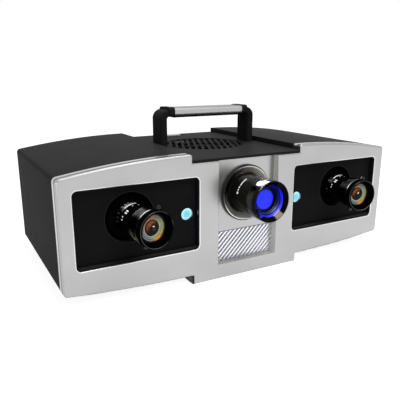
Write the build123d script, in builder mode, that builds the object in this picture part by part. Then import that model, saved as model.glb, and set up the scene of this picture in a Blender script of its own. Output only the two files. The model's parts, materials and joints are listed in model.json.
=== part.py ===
from build123d import *
from math import cos, radians, sin
import os

# Structured-light scanner head: two toed-in cameras and a projector in one wide housing.
# Millimetres, +Z up, the lenses look towards -Y. The origin is the mouth of the tripod socket,
# on the underside of the base, below the middle of the housing.
# Left and right are as seen by someone who faces the lenses. A setback is measured backwards
# from the front face of the housing.

# Fits shared by all pieces
seat_gap = 0.3
running_gap = 0.1
overrun = 1.0

# Housing outline, seen from the front
housing_width = 460.0
body_depth = 228.0
centre_width = 155.0
wing_top_inner = 157.0
wing_drop = 13.0
wing_bottom_inner = 10.8
wing_rise = 7.7
cover_step = 6.5
corner_radius = 5.0

# Front plate, a machined tray with a rim that reaches back to the housings
plate_wall = 3.0
plate_depth = 15.0
plate_edge_radius = 2.5
notch_ease = 0.7
rim_groove_setback = 3.4
rim_groove_width = 1.3
rim_groove_depth = 0.7
plate_post_radius = 4.5
plate_post_bore_radius = 1.6
plate_post_bite = 1.2

# Recess around the projector, open at its top, and the diagonal air grille in its floor
recess_width = 85.4
recess_bottom = 18.8
recess_depth = 9.0
recess_wall = 3.0
recess_floor = 3.0
recess_edge_radius = 1.2
grille_drop = 45.0
grille_slat_width = 3.2
grille_slat_depth = 3.6
grille_slat_pitch = 4.6
grille_slat_angle = 45.0
grille_slat_taper = 10.0
grille_flange_lap = 2.4
grille_flange_thickness = 2.0
filter_thickness = 3.0

# Camera windows and the black trays behind them
window_inner_x = 69.2
window_margin = 15.4
window_bottom_margin = 25.8
window_top_margin = 13.2
window_radius = 5.5
window_edge_radius = 0.8
tray_front_setback = 1.2
tray_wall = 1.2
tray_floor_setback = 8.5
tray_floor = 2.5
tray_flange_lap = 5.0
tray_flange_thickness = 2.0
lens_hole_radius = 28.4
lens_skirt_length = 8.0

# Indicator lights beside the cameras
indicator_inset = 12.2
indicator_drop = 1.05
indicator_radius = 6.0
indicator_ring = 1.2
indicator_sink = 0.4
indicator_bevel = 0.8
indicator_flange_lap = 2.0
indicator_flange_thickness = 2.0
indicator_board_size = 22.0
board_thickness = 1.6

# Camera axes: each crosses the floor of its tray at the middle of the lens hole
lens_offset = 9.1
lens_rise = 5.45
toe_in_angle = 8.0

# Camera lens, along its axis from the floor of the tray (positive is outwards)
lens_mount_along = -16.0
lens_flange_start = -9.0
lens_flange_end = -4.0
lens_iris_start = 1.0
lens_iris_end = 11.0
lens_index_end = 19.0
lens_focus_start = 23.0
lens_grip_start = 31.0
lens_grip_end = 44.5
lens_rim_start = 46.5
lens_front = 55.8
lens_body_radius = 17.0
lens_mount_radius = 15.9
lens_flange_radius = 24.0
lens_seat_radius = 14.0
lens_neck_radius = 15.2
lens_iris_radius = 17.6
lens_grip_radius = 18.9
lens_rim_radius = 20.2
lens_rim_bevel = 1.2
lens_hood_radius = 17.4
lens_bore_radius = 11.0
lens_stop_radius = 6.0
lens_stop_length = 3.0
lens_rear_bore_radius = 9.0
lens_nose_end = 43.0
lens_retainer_radius = 13.0
lens_retainer_thickness = 1.5
glass_radius = 15.3
glass_edge = 2.0
glass_crown = 2.6
glass_step_radius = 12.0
glass_step_height = 0.5
glass_well_height = 0.6
glass_dome_radius = 8.7
iris_notch_count = 24
iris_notch_radius = 0.9
grip_groove_count = 3
grip_groove_width = 1.2
grip_groove_depth = 0.7

# Thumbscrews that lock the focus ring
lock_along = 38.0
lock_shank_radius = 1.1
lock_head_radius = 2.3
lock_head_height = 4.8
lock_head_bevel = 0.5
upper_lock_angle = 35.0
lower_lock_angle = 190.0

# Camera body and its bracket
camera_size = 44.0
camera_length = 44.0
camera_radius = 3.0
camera_fin_count = 5
camera_fin_gap = 2.4
camera_fin_depth = 2.0
camera_plug_radius = 6.0
camera_plug_length = 5.0
bracket_length = 38.0
bracket_foot_width = 52.0
bracket_plate = 5.0
bracket_web = 14.0
bracket_front_gap = 3.0

# Optical bench that carries the cameras and the projector
bench_overhang = 37.0
bench_setback = 24.0
bench_depth = 80.0
bench_bottom = 26.0
bench_thickness = 8.0
bench_slot_length = 46.0
bench_slot_width = 14.0
bench_slot_x = 102.0
bench_corner_radius = 6.0

# Projector lens, along its axis from the front face (positive is outwards)
projector_drop = 44.5
collar_radius = 35.0
collar_height = 4.5
collar_bevel = 1.8
collar_lip = 0.8
collar_neck_radius = 31.0
collar_throat_length = 2.5
collar_throat_gap = 0.6
barrel_rear_along = -30.0
barrel_rear_radius = 24.0
barrel_flange_start = -14.0
barrel_flange_end = -8.0
barrel_flange_radius = 25.0
barrel_radius = 23.2
barrel_step_along = 14.0
barrel_seat_radius = 20.0
barrel_nose_along = 32.2
barrel_bore_radius = 12.0
barrel_rear_bore_radius = 9.0
barrel_bore_floor = 8.0
projector_ring_radius = 24.5
projector_ring_front = 45.5
projector_ring_bevel = 0.8
projector_lip = 0.4
projector_mouth_depth = 4.6
projector_hood_radius = 18.6
projector_throat_radius = 14.6
projector_throat_length = 1.4
projector_step_height = 4.0
projector_step_radius = 16.2
projector_step_width = 1.2
projector_glass_radius = 14.0
projector_glass_edge = 3.0
projector_glass_crown = 1.6

# Projector engine and its heat sink
engine_width = 88.0
engine_rear_room = 118.0
engine_foot_height = 6.0
engine_fan_gap = 4.0
engine_radius = 4.0
engine_foot_size = 16.0
engine_groove_count = 6
engine_groove_width = 4.0
engine_groove_depth = 3.0
engine_groove_pitch = 10.0
sink_base = 5.0
sink_length = 34.0
sink_width = 80.0
sink_trim = 17.5
sink_fin = 2.0
sink_fin_count = 10

# Side housings
housing_wall = 2.5
housing_back_radius = 2.0
housing_lip = 12.5
housing_boss_length = 18.0

# Top cover with its round fan vent
cover_thickness = 3.0
cover_front_setback = 0.6
cover_edge_radius = 0.6
cover_flange = 2.5
cover_flange_height = 9.0
vent_lead = 1.0
vent_gap = 10.0
vent_dish_lap = 2.5
vent_dish_depth = 0.8
vent_slot_width = 5.2
vent_slot_pitch = 8.4
vent_angle = 24.5
vent_spine_width = 3.2
vent_spine_spacing = 36.0
vent_spine_count = 2

# Carrying handle
handle_lead = 3.0
handle_inset = 5.5
handle_arm = 20.0
handle_leg = 10.0
handle_leg_depth = 28.0
handle_rise = 51.0
handle_outer_radius = 12.0
handle_inner_radius = 3.5
handle_edge_radius = 3.0
elbow_drop = 2.2
elbow_arm = 9.0
collar_lap = 0.8
handle_collar_length = 8.0
grip_depth = 29.6
grip_height = 10.5
grip_radius = 3.5
grip_wall = 2.5
grip_pad_thickness = 2.0
grip_pad_depth = 22.0
tenon_length = 8.0
handle_screw_radius = 2.5
handle_screw_head_radius = 4.25
handle_screw_head_height = 5.0
handle_screw_reach = 14.0

# Cooling fan under the vent
fan_size = 92.0
fan_depth = 16.0
fan_corner_radius = 4.0
fan_bore_radius = 43.5
fan_plate = 3.0
fan_motor_radius = 16.0
fan_strut_width = 4.0
fan_strut_count = 4
fan_spindle_radius = 3.0
fan_hub_radius = 17.0
fan_blade_count = 7
fan_blade_radius = 41.8
fan_blade_thickness = 1.6
fan_blade_angle = 38.0
fan_axial_gap = 0.6

# Power key near the back of the top cover
key_inset = 15.0
key_width = 24.0
key_depth = 14.0
key_proud = 1.8
key_radius = 2.0
key_top_radius = 0.8
key_flange_lap = 1.6
key_flange_thickness = 2.0
key_travel = 1.5
key_board_width = 54.0
key_board_depth = 18.0
key_switch_size = 8.0
key_switch_height = 5.0
key_post_radius = 3.0

# Base with the tripod socket
base_floor = 3.0
base_wall = 2.5
base_wall_top = 24.0
base_rib_width = 3.0
base_rib_height = 7.0
bench_post_radius = 7.0
bench_post_margin = 17.2
bench_post_inset = 16.0
bench_post_bore_radius = 2.1
socket_boss_radius = 15.0
socket_boss_height = 18.0
bush_radius = 9.0
bush_flange_radius = 11.5
bush_flange_thickness = 2.0
socket_thread_radius = 3.97
socket_depth = 12.0

# Rear panel, main board and sockets
rear_panel_thickness = 3.0
rear_vent_rows = 7
rear_vent_columns = 2
rear_vent_length = 42.0
rear_vent_spacing = 56.0
rear_vent_height = 4.0
rear_vent_pitch = 8.0
rear_vent_drop = 55.5
main_board_width = 118.0
main_board_bottom = 22.0
main_board_height = 62.0
main_board_standoff = 14.0
standoff_radius = 3.0
standoff_inset = 6.0
socket_proud = 1.5
socket_z = 42.0
inlet_inset = 17.0
inlet_radius = 7.0
inlet_flange_radius = 9.5
inlet_bore_radius = 5.2
inlet_bore_depth = 9.0
inlet_pin_radius = 0.8
inlet_pin_circle = 2.8
inlet_pin_count = 4
data_x = 2.0
data_width = 12.0
data_height = 11.0
data_opening_width = 8.6
data_opening_height = 7.8
data_depth = 9.0
data_tongue_width = 5.6
data_tongue_height = 2.6
video_inset = 17.0
video_width = 17.0
video_height = 8.0
video_opening_width = 14.0
video_opening_height = 4.8
video_depth = 9.0
video_tongue_width = 10.0
video_tongue_height = 1.2

# Places worked out from the sizes above
front_y = -body_depth / 2
half_width = housing_width / 2
centre_half = centre_width / 2
wing_top_outer = wing_top_inner - wing_drop
wing_bottom_outer = wing_bottom_inner + wing_rise
cover_top = wing_top_inner - cover_step
plate_top = cover_top - cover_thickness
notch_radius = plate_edge_radius + notch_ease
window_outer_x = half_width - window_margin
window_bottom = wing_bottom_outer + window_bottom_margin
window_top = wing_top_outer - window_top_margin
window_width = window_outer_x - window_inner_x
window_height = window_top - window_bottom
window_mid_x = (window_outer_x + window_inner_x) / 2
window_mid_z = (window_top + window_bottom) / 2
lens_x = window_mid_x + lens_offset
lens_z = window_mid_z + lens_rise
indicator_x = window_inner_x + indicator_inset
indicator_z = window_mid_z - indicator_drop
projector_z = plate_top - projector_drop
grille_top = projector_z - grille_drop
inner_half = centre_half - seat_gap
bench_length = 2 * (lens_x + bench_overhang)
bench_top = bench_bottom + bench_thickness
bench_post_x = inner_half - bench_post_margin
tray_back_setback = tray_floor_setback + tray_floor
indicator_hole_radius = indicator_radius + indicator_ring
collar_throat_radius = barrel_flange_radius + collar_throat_gap
engine_length = body_depth - engine_rear_room
handle_setback = body_depth / 2 - handle_lead
handle_top = cover_top + handle_rise
handle_width = centre_width - 2 * handle_inset
grip_length = handle_width - 2 * handle_arm
handle_screw_x = handle_width / 2 - handle_leg / 2
vent_setback = body_depth / 2 - vent_lead
vent_radius = handle_width / 2 - handle_leg - vent_gap
key_setback = body_depth - key_inset
rear_setback = body_depth - rear_panel_thickness
rear_vent_z = plate_top - rear_vent_drop
inlet_x = -main_board_width / 2 + inlet_inset
video_x = main_board_width / 2 - video_inset
fan_bottom = plate_top - fan_depth
fan_y = front_y + vent_setback
engine_bottom = bench_top + engine_foot_height
engine_top = fan_bottom - engine_fan_gap
SIDES = {"left": -1, "right": 1}


def front_plane(setback):
    """Upright plane that faces the front, a setback behind the front face."""
    return Plane.XZ.offset(-(front_y + setback))


def axis_plane(point, direction):
    """Plane for a turned profile: x runs along the axis, y is the radius."""
    return Plane(origin=point, x_dir=direction, z_dir=(0, 0, 1))


def lens_axis(side):
    """Direction in which a camera looks, turned in towards the middle."""
    return Vector(-side * sin(radians(toe_in_angle)), -cos(radians(toe_in_angle)), 0)


def lens_centre(side):
    """Point where a camera's axis crosses the floor of its tray."""
    return Vector(side * lens_x, front_y + tray_floor_setback, lens_z)


def lens_plane(side, along=0):
    """Plane square to a camera's axis, with x to the right and y up."""
    axis = lens_axis(side)
    return Plane(origin=lens_centre(side) + axis * along, x_dir=(-axis.Y, axis.X, 0), z_dir=axis)


def lock_plane(side, angle):
    """Plane for a lock screw's profile: x runs outwards from the lens axis at an angle from up."""
    square = lens_plane(side, lock_along)
    outwards = square.x_dir * sin(radians(angle)) + square.y_dir * cos(radians(angle))
    return Plane(origin=square.origin, x_dir=outwards, z_dir=square.z_dir)


def turned(plane, outline):
    """Solid turned about the x axis of a plane from (along, radius) points."""
    with BuildPart() as solid:
        with BuildSketch(plane):
            with BuildLine():
                Polyline(*outline, close=True)
            make_face()
        revolve(axis=Axis(plane.origin, plane.x_dir))
    return solid.part


def keep(piece, name):
    """Label a finished piece and write it."""
    piece.label = name
    export_step(piece, f"parts/{name}.step")


def plate_outline():
    """Outline of the front plate: two wings, the tab below and the cover's notch above."""
    with BuildSketch() as outline:
        with BuildLine():
            Polyline((0, plate_top), (centre_half, plate_top), (centre_half, wing_top_inner))
            TangentArc((centre_half, wing_top_inner), (half_width, wing_top_outer), tangent=(1, 0))
            Line((half_width, wing_top_outer), (half_width, wing_bottom_outer))
            TangentArc((centre_half, wing_bottom_inner), (half_width, wing_bottom_outer),
                       tangent=(1, 0))
            Polyline((centre_half, wing_bottom_inner), (centre_half, 0), (0, 0))
            mirror(about=Plane.YZ)
        make_face()
        ends = outline.vertices().group_by(Axis.X)
        fillet(ends[0] + ends[-1], corner_radius)
        fillet(outline.vertices().group_by(Axis.Y)[-1], notch_radius)
    return outline.sketch


def housing_outline(side):
    """Outline of one side housing, seen from the front."""
    inner = side * centre_half
    outer = side * half_width
    with BuildSketch() as outline:
        with BuildLine():
            Line((inner, wing_bottom_inner), (inner, wing_top_inner))
            TangentArc((inner, wing_top_inner), (outer, wing_top_outer), tangent=(side, 0))
            Line((outer, wing_top_outer), (outer, wing_bottom_outer))
            TangentArc((inner, wing_bottom_inner), (outer, wing_bottom_outer), tangent=(side, 0))
        make_face()
        fillet(outline.vertices().sort_by(Axis.X, reverse=side > 0)[:2], corner_radius)
    return outline.sketch


def post_places():
    """Places of the screw posts in the outer corners, where plate and housings are joined."""
    inset = housing_wall + plate_post_radius - plate_post_bite
    spots = []
    for side in SIDES.values():
        spots.append((side * (half_width - inset), wing_top_outer - inset - corner_radius / 2))
        spots.append((side * (half_width - inset), wing_bottom_outer + inset + corner_radius / 2))
    return spots


def draw_window(side, grow, radius):
    """Draw one camera window, larger by grow all round."""
    with Locations((side * window_mid_x, window_mid_z)):
        RectangleRounded(window_width + 2 * grow, window_height + 2 * grow, radius)


os.makedirs("parts", exist_ok=True)

# Front plate: grooved rim, two windows, and the projector's recess with openings in its floor
with BuildPart() as front_plate:
    with BuildSketch(front_plane(0)):
        add(plate_outline())
    extrude(amount=-plate_depth)
    fillet(front_plate.faces().sort_by(Axis.Y)[0].outer_wire().edges(), plate_edge_radius)
    with BuildSketch(front_plane(rim_groove_setback)):
        add(plate_outline())
        offset(plate_outline(), amount=-rim_groove_depth, mode=Mode.SUBTRACT)
    extrude(amount=-rim_groove_width, mode=Mode.SUBTRACT)
    with BuildSketch(front_plane(plate_wall)):
        add(plate_outline())
        offset(amount=-plate_wall)
    extrude(amount=-plate_depth, mode=Mode.SUBTRACT)
    with BuildSketch(front_plane(plate_wall)):
        with Locations((0, recess_bottom - recess_wall)):
            Rectangle(recess_width + 2 * recess_wall, plate_top - recess_bottom + recess_wall,
                      align=(Align.CENTER, Align.MIN))
    extrude(amount=-(recess_depth + recess_floor - plate_wall))
    with BuildSketch(front_plane(-overrun)):
        with Locations((0, recess_bottom)):
            Rectangle(recess_width, plate_top - recess_bottom + overrun, align=(Align.CENTER, Align.MIN))
    extrude(amount=-(recess_depth + overrun), mode=Mode.SUBTRACT)
    fillet(front_plate.edges().filter_by(Axis.Z).group_by(Axis.Y)[0], recess_edge_radius)
    with BuildSketch(front_plane(recess_depth - overrun)):
        with Locations((0, projector_z)):
            Circle(collar_neck_radius + seat_gap)
        with Locations((0, recess_bottom)):
            Rectangle(recess_width, grille_top - recess_bottom, align=(Align.CENTER, Align.MIN))
    extrude(amount=-plate_depth, mode=Mode.SUBTRACT)
    with BuildSketch(front_plane(-overrun)):
        for side in SIDES.values():
            draw_window(side, 0, window_radius)
    extrude(amount=-(plate_wall + 2 * overrun), mode=Mode.SUBTRACT)
    plate_front = front_plate.faces().filter_by(Axis.Y).sort_by(Axis.Y)[0]
    fillet(ShapeList(plate_front.inner_wires()).edges(), window_edge_radius)
    with BuildSketch(front_plane(plate_wall)):
        with Locations(*post_places()):
            Circle(plate_post_radius)
            Circle(plate_post_bore_radius, mode=Mode.SUBTRACT)
    extrude(amount=-(plate_depth - plate_wall))
keep(front_plate.part, "front_plate")

# Diagonal air grille: slats on a flange that lies behind the recess
grille_height = grille_top - recess_bottom
with BuildPart() as louvre_grille:
    grille_back = recess_depth + recess_floor
    grille_mid = recess_bottom + grille_height / 2
    slat_length = recess_width + grille_height
    slat_count = int(slat_length / (grille_slat_pitch * 2 ** 0.5))
    with BuildSketch(front_plane(grille_back)):
        with Locations((0, grille_mid)):
            Rectangle(recess_width + 2 * recess_wall, grille_height + 2 * recess_wall)
            Rectangle(recess_width - 2 * grille_flange_lap, grille_height - 2 * grille_flange_lap,
                      mode=Mode.SUBTRACT)
    extrude(amount=-grille_flange_thickness)
    with BuildSketch(front_plane(grille_back)):
        with Locations(Location((0, grille_mid), grille_slat_angle)):
            with GridLocations(0, grille_slat_pitch, 1, slat_count):
                Rectangle(slat_length, grille_slat_width)
        with Locations((0, grille_mid)):
            Rectangle(recess_width - 2 * seat_gap, grille_height - 2 * seat_gap, mode=Mode.INTERSECT)
    extrude(amount=grille_slat_depth, taper=grille_slat_taper)
keep(louvre_grille.part, "louvre_grille")

# Dust filter behind the grille
with BuildPart() as dust_filter:
    with BuildSketch(front_plane(grille_back + grille_flange_thickness)):
        with Locations((0, grille_mid)):
            Rectangle(recess_width, grille_height)
    extrude(amount=-filter_thickness)
keep(dust_filter.part, "dust_filter")


def window_tray(side):
    """Black tray behind a camera window, with the lens hole, its skirt and the indicator's hole."""
    with BuildPart() as tray:
        with BuildSketch(front_plane(plate_wall)):
            draw_window(side, tray_flange_lap, window_radius + tray_flange_lap)
        extrude(amount=-tray_flange_thickness)
        with BuildSketch(front_plane(tray_front_setback)):
            draw_window(side, -seat_gap, window_radius - seat_gap)
        extrude(amount=-(tray_back_setback - tray_front_setback))
        with BuildSketch(front_plane(tray_front_setback - overrun)):
            draw_window(side, -seat_gap - tray_wall, window_radius - seat_gap - tray_wall)
        extrude(amount=-(tray_floor_setback - tray_front_setback + overrun), mode=Mode.SUBTRACT)
        with BuildSketch(front_plane(tray_floor_setback)):
            with Locations((side * lens_x, lens_z)):
                Circle(lens_hole_radius + tray_wall)
        extrude(amount=-(tray_floor + lens_skirt_length))
        with BuildSketch(front_plane(tray_floor_setback - overrun)):
            with Locations((side * lens_x, lens_z)):
                Circle(lens_hole_radius)
            with Locations((side * indicator_x, indicator_z)):
                Circle(indicator_hole_radius)
        extrude(amount=-(tray_floor + lens_skirt_length + 2 * overrun), mode=Mode.SUBTRACT)
    return tray.part


def indicator(side):
    """Round light cap, sunk in the tray's floor and held by a flange behind it."""
    centre = (side * indicator_x, front_y + tray_floor_setback, indicator_z)
    flange_back = -tray_floor - indicator_flange_thickness
    outline = [
        (-indicator_sink, 0),
        (-indicator_sink, indicator_radius - indicator_bevel),
        (-indicator_sink - indicator_bevel, indicator_radius),
        (-tray_floor, indicator_radius),
        (-tray_floor, indicator_hole_radius + indicator_flange_lap),
        (flange_back, indicator_hole_radius + indicator_flange_lap),
        (flange_back, 0),
    ]
    return turned(axis_plane(centre, (0, -1, 0)), outline)


def indicator_board(side):
    """Small board behind the light cap."""
    with BuildPart() as board:
        with BuildSketch(front_plane(tray_back_setback + indicator_flange_thickness)):
            with Locations((side * indicator_x, indicator_z)):
                Rectangle(indicator_board_size, indicator_board_size)
        extrude(amount=-board_thickness)
    return board.part


def lens_barrel(side):
    """Fixed barrel of a camera lens: mount, flange, iris seat, index ring, focus seat and bore."""
    stop_start = lens_index_end - lens_stop_length
    outline = [
        (lens_mount_along, lens_rear_bore_radius),
        (lens_mount_along, lens_mount_radius),
        (lens_flange_start, lens_mount_radius),
        (lens_flange_start, lens_flange_radius),
        (lens_flange_end, lens_flange_radius),
        (lens_flange_end, lens_body_radius),
        (lens_iris_start, lens_body_radius),
        (lens_iris_start, lens_seat_radius),
        (lens_iris_end, lens_seat_radius),
        (lens_iris_end, lens_body_radius),
        (lens_index_end, lens_body_radius),
        (lens_focus_start, lens_seat_radius),
        (lens_nose_end, lens_seat_radius),
        (lens_nose_end, lens_bore_radius),
        (lens_index_end, lens_bore_radius),
        (lens_index_end, lens_stop_radius),
        (stop_start, lens_stop_radius),
        (stop_start, lens_rear_bore_radius),
    ]
    return turned(axis_plane(lens_centre(side), lens_axis(side)), outline)


def iris_ring(side):
    """Notched ring that sets the iris, turning on the barrel."""
    start = lens_iris_start + seat_gap
    end = lens_iris_end - seat_gap
    bore = lens_seat_radius + seat_gap
    blank = turned(axis_plane(lens_centre(side), lens_axis(side)), [
        (start, bore), (start, lens_iris_radius), (end, lens_iris_radius), (end, bore)])
    with BuildPart() as ring:
        add(blank)
        with BuildSketch(lens_plane(side, start)):
            with PolarLocations(lens_iris_radius, iris_notch_count):
                RegularPolygon(iris_notch_radius, 4)
        extrude(amount=(end - start) / 2, mode=Mode.SUBTRACT)
    return ring.part


def focus_ring(side):
    """Focus ring with the front rim: it turns on the barrel's nose and carries the front glass."""
    bore = lens_seat_radius + seat_gap
    nose = lens_nose_end + seat_gap
    seat = nose + lens_retainer_thickness
    start = lens_focus_start + seat_gap
    groove_pitch = (lens_grip_end - lens_grip_start) / (grip_groove_count + 1)
    outline = [
        (start, bore),
        (start, lens_neck_radius),
        (lens_grip_start, lens_grip_radius),
        (lens_grip_end, lens_grip_radius),
        (lens_rim_start, lens_rim_radius),
        (lens_front - lens_rim_bevel, lens_rim_radius),
        (lens_front, lens_rim_radius - lens_rim_bevel),
        (lens_front, lens_hood_radius),
        (seat + glass_edge + glass_crown, glass_radius + seat_gap),
        (seat, glass_radius + seat_gap),
        (seat, lens_retainer_radius),
        (nose, lens_retainer_radius),
        (nose, bore),
    ]
    blank = turned(axis_plane(lens_centre(side), lens_axis(side)), outline)
    with BuildPart() as ring:
        add(blank)
        for number in range(grip_groove_count):
            along = lens_grip_start + groove_pitch * (number + 1) - grip_groove_width / 2
            with BuildSketch(lens_plane(side, along)):
                Circle(lens_grip_radius + overrun)
                Circle(lens_grip_radius - grip_groove_depth, mode=Mode.SUBTRACT)
            extrude(amount=grip_groove_width, mode=Mode.SUBTRACT)
        for angle in (upper_lock_angle, lower_lock_angle):
            screw = lock_plane(side, angle)
            with BuildSketch(Plane(origin=screw.origin, z_dir=screw.x_dir)):
                Circle(lock_shank_radius + running_gap)
            extrude(amount=lens_rim_radius + overrun, mode=Mode.SUBTRACT)
    return ring.part


def front_glass(side):
    """Front element with a domed middle in a stepped well, seated on the focus ring's shoulder."""
    seat = lens_nose_end + seat_gap + lens_retainer_thickness
    edge = seat + glass_edge
    crest = edge + glass_crown
    well = seat + glass_well_height
    step = (edge + well) / 2
    dome_height = crest - well
    with BuildPart() as glass:
        with BuildSketch(axis_plane(lens_centre(side), lens_axis(side))):
            with BuildLine():
                Polyline((crest, 0), (seat, 0), (seat, glass_radius), (edge, glass_radius),
                         (step + glass_step_height / 2, glass_step_radius),
                         (step - glass_step_height / 2, glass_step_radius),
                         (well, glass_dome_radius))
                RadiusArc((well, glass_dome_radius), (crest, 0),
                          (glass_dome_radius ** 2 + dome_height ** 2) / (2 * dome_height))
            make_face()
        revolve(axis=Axis(lens_centre(side), lens_axis(side)))
    return glass.part


def lock_screw(side, angle):
    """Thumbscrew that locks the focus ring."""
    head_start = lens_grip_radius + seat_gap
    head_end = head_start + lock_head_height
    tip = lens_seat_radius + 2 * seat_gap
    return turned(lock_plane(side, angle), [
        (tip, 0),
        (tip, lock_shank_radius),
        (head_start, lock_shank_radius),
        (head_start, lock_head_radius),
        (head_end - lock_head_bevel, lock_head_radius),
        (head_end, lock_head_radius - lock_head_bevel),
        (head_end, 0),
    ])


def camera_body(side):
    """Camera with cooling fins along its flanks and two plugs behind."""
    with BuildPart() as camera:
        with BuildSketch(lens_plane(side, lens_mount_along)):
            RectangleRounded(camera_size, camera_size, camera_radius)
        extrude(amount=-camera_length)
        with BuildSketch(lens_plane(side, lens_mount_along - camera_fin_gap)):
            for flank in (-1, 1):
                with Locations((flank * camera_size / 2, 0)):
                    with GridLocations(0, 2 * camera_fin_gap, 1, camera_fin_count):
                        Rectangle(2 * camera_fin_depth, camera_fin_gap)
        extrude(amount=-camera_length, mode=Mode.SUBTRACT)
        with BuildSketch(lens_plane(side, lens_mount_along - camera_length)):
            with GridLocations(camera_size / 2, 0, 2, 1):
                Circle(camera_plug_radius)
        extrude(amount=-camera_plug_length)
    return camera.part


def camera_bracket(side):
    """I-section bracket that holds a camera at lens height and at its toe-in."""
    foot = bench_top - lens_z
    head = -camera_size / 2
    with BuildPart() as bracket:
        with BuildSketch(lens_plane(side, lens_mount_along - bracket_front_gap)):
            with Locations((0, foot)):
                Rectangle(bracket_foot_width, bracket_plate, align=(Align.CENTER, Align.MIN))
                Rectangle(bracket_web, head - foot, align=(Align.CENTER, Align.MIN))
            with Locations((0, head)):
                Rectangle(camera_size, bracket_plate, align=(Align.CENTER, Align.MAX))
        extrude(amount=-bracket_length)
    return bracket.part


def side_housing(side):
    """Black side housing: closed at the back, open to the front plate and to the middle section."""
    with BuildPart() as housing:
        with BuildSketch(front_plane(plate_depth)):
            add(housing_outline(side))
        extrude(amount=-(body_depth - plate_depth))
        fillet(housing.faces().sort_by(Axis.Y)[-1].outer_wire().edges(), housing_back_radius)
        with BuildSketch(front_plane(plate_depth - overrun)):
            add(housing_outline(side))
            offset(amount=-housing_wall)
        extrude(amount=-(body_depth - plate_depth - housing_wall + overrun), mode=Mode.SUBTRACT)
        with BuildSketch(front_plane(plate_depth - overrun)):
            with Locations((side * centre_half, wing_bottom_inner + housing_lip)):
                Rectangle(2 * (housing_wall + overrun),
                          cover_top - wing_bottom_inner - 2 * housing_lip,
                          align=(Align.CENTER, Align.MIN))
        extrude(amount=-(body_depth - plate_depth - housing_wall + overrun), mode=Mode.SUBTRACT)
        with BuildSketch(front_plane(plate_depth)):
            with Locations(*[spot for spot in post_places() if spot[0] * side > 0]):
                Circle(plate_post_radius)
                Circle(plate_post_bore_radius, mode=Mode.SUBTRACT)
        extrude(amount=-housing_boss_length)
    return housing.part


PAIRED_PIECES = {
    "window_tray": window_tray,
    "indicator": indicator,
    "indicator_board": indicator_board,
    "lens_barrel": lens_barrel,
    "iris_ring": iris_ring,
    "focus_ring": focus_ring,
    "front_glass": front_glass,
    "camera_body": camera_body,
    "camera_bracket": camera_bracket,
    "housing": side_housing,
}
LOCK_ANGLES = {"upper": upper_lock_angle, "lower": lower_lock_angle}

for side_name, side in SIDES.items():
    for piece_name, make_piece in PAIRED_PIECES.items():
        keep(make_piece(side), f"{side_name}_{piece_name}")
    for lock_name, lock_angle in LOCK_ANGLES.items():
        keep(lock_screw(side, lock_angle), f"{side_name}_{lock_name}_lock_screw")

# Projector lens: collar, fixed barrel, focus ring and glass, all on one axis
projector_plane = axis_plane((0, front_y, projector_z), (0, -1, 0))
projector_collar = turned(projector_plane, [
    (-recess_depth, collar_neck_radius),
    (-recess_depth, collar_radius),
    (-recess_depth + collar_height - collar_bevel, collar_radius),
    (-recess_depth + collar_height, collar_radius - collar_bevel),
    (-recess_depth + collar_height, collar_radius - collar_bevel - collar_lip),
    (-grille_back + collar_throat_length, collar_throat_radius),
    (-grille_back, collar_throat_radius),
    (-grille_back, collar_neck_radius),
])
keep(projector_collar, "projector_collar")

glass_floor = barrel_nose_along - projector_glass_edge - projector_glass_crown
projector_barrel = turned(projector_plane, [
    (barrel_rear_along, barrel_rear_bore_radius),
    (barrel_rear_along, barrel_rear_radius),
    (barrel_flange_start, barrel_rear_radius),
    (barrel_flange_start, barrel_flange_radius),
    (barrel_flange_end, barrel_flange_radius),
    (barrel_flange_end, barrel_radius),
    (barrel_step_along, barrel_radius),
    (barrel_step_along, barrel_seat_radius),
    (barrel_nose_along, barrel_seat_radius),
    (barrel_nose_along, projector_glass_radius + seat_gap),
    (glass_floor, projector_glass_radius + seat_gap),
    (glass_floor, barrel_bore_radius),
    (barrel_bore_floor, barrel_bore_radius),
    (barrel_bore_floor, barrel_rear_bore_radius),
])
keep(projector_barrel, "projector_barrel")

ring_back = barrel_step_along + seat_gap
ring_bore = barrel_seat_radius + seat_gap
throat_back = barrel_nose_along + seat_gap
throat_front = throat_back + projector_throat_length
hood_step = throat_front + projector_step_height
projector_focus_ring = turned(projector_plane, [
    (ring_back, ring_bore),
    (ring_back, projector_ring_radius - projector_ring_bevel / 2),
    (ring_back + projector_ring_bevel, projector_ring_radius),
    (projector_ring_front - projector_ring_bevel, projector_ring_radius),
    (projector_ring_front, projector_ring_radius - projector_ring_bevel),
    (projector_ring_front, projector_ring_radius - projector_ring_bevel - projector_lip),
    (projector_ring_front - projector_mouth_depth, projector_hood_radius),
    (hood_step, projector_step_radius + projector_step_width),
    (hood_step, projector_step_radius),
    (throat_front, projector_throat_radius),
    (throat_back, projector_throat_radius),
    (throat_back, ring_bore),
])
keep(projector_focus_ring, "projector_focus_ring")

with BuildPart() as projector_glass:
    glass_crest = glass_floor + projector_glass_edge + projector_glass_crown
    glass_rim = glass_floor + projector_glass_edge
    with BuildSketch(projector_plane):
        with BuildLine():
            Polyline((glass_crest, 0), (glass_floor, 0), (glass_floor, projector_glass_radius),
                     (glass_rim, projector_glass_radius))
            RadiusArc((glass_rim, projector_glass_radius), (glass_crest, 0),
                      (projector_glass_radius ** 2 + projector_glass_crown ** 2)
                      / (2 * projector_glass_crown))
        make_face()
    revolve(axis=Axis(projector_plane.origin, projector_plane.x_dir))
keep(projector_glass.part, "projector_glass")

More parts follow.
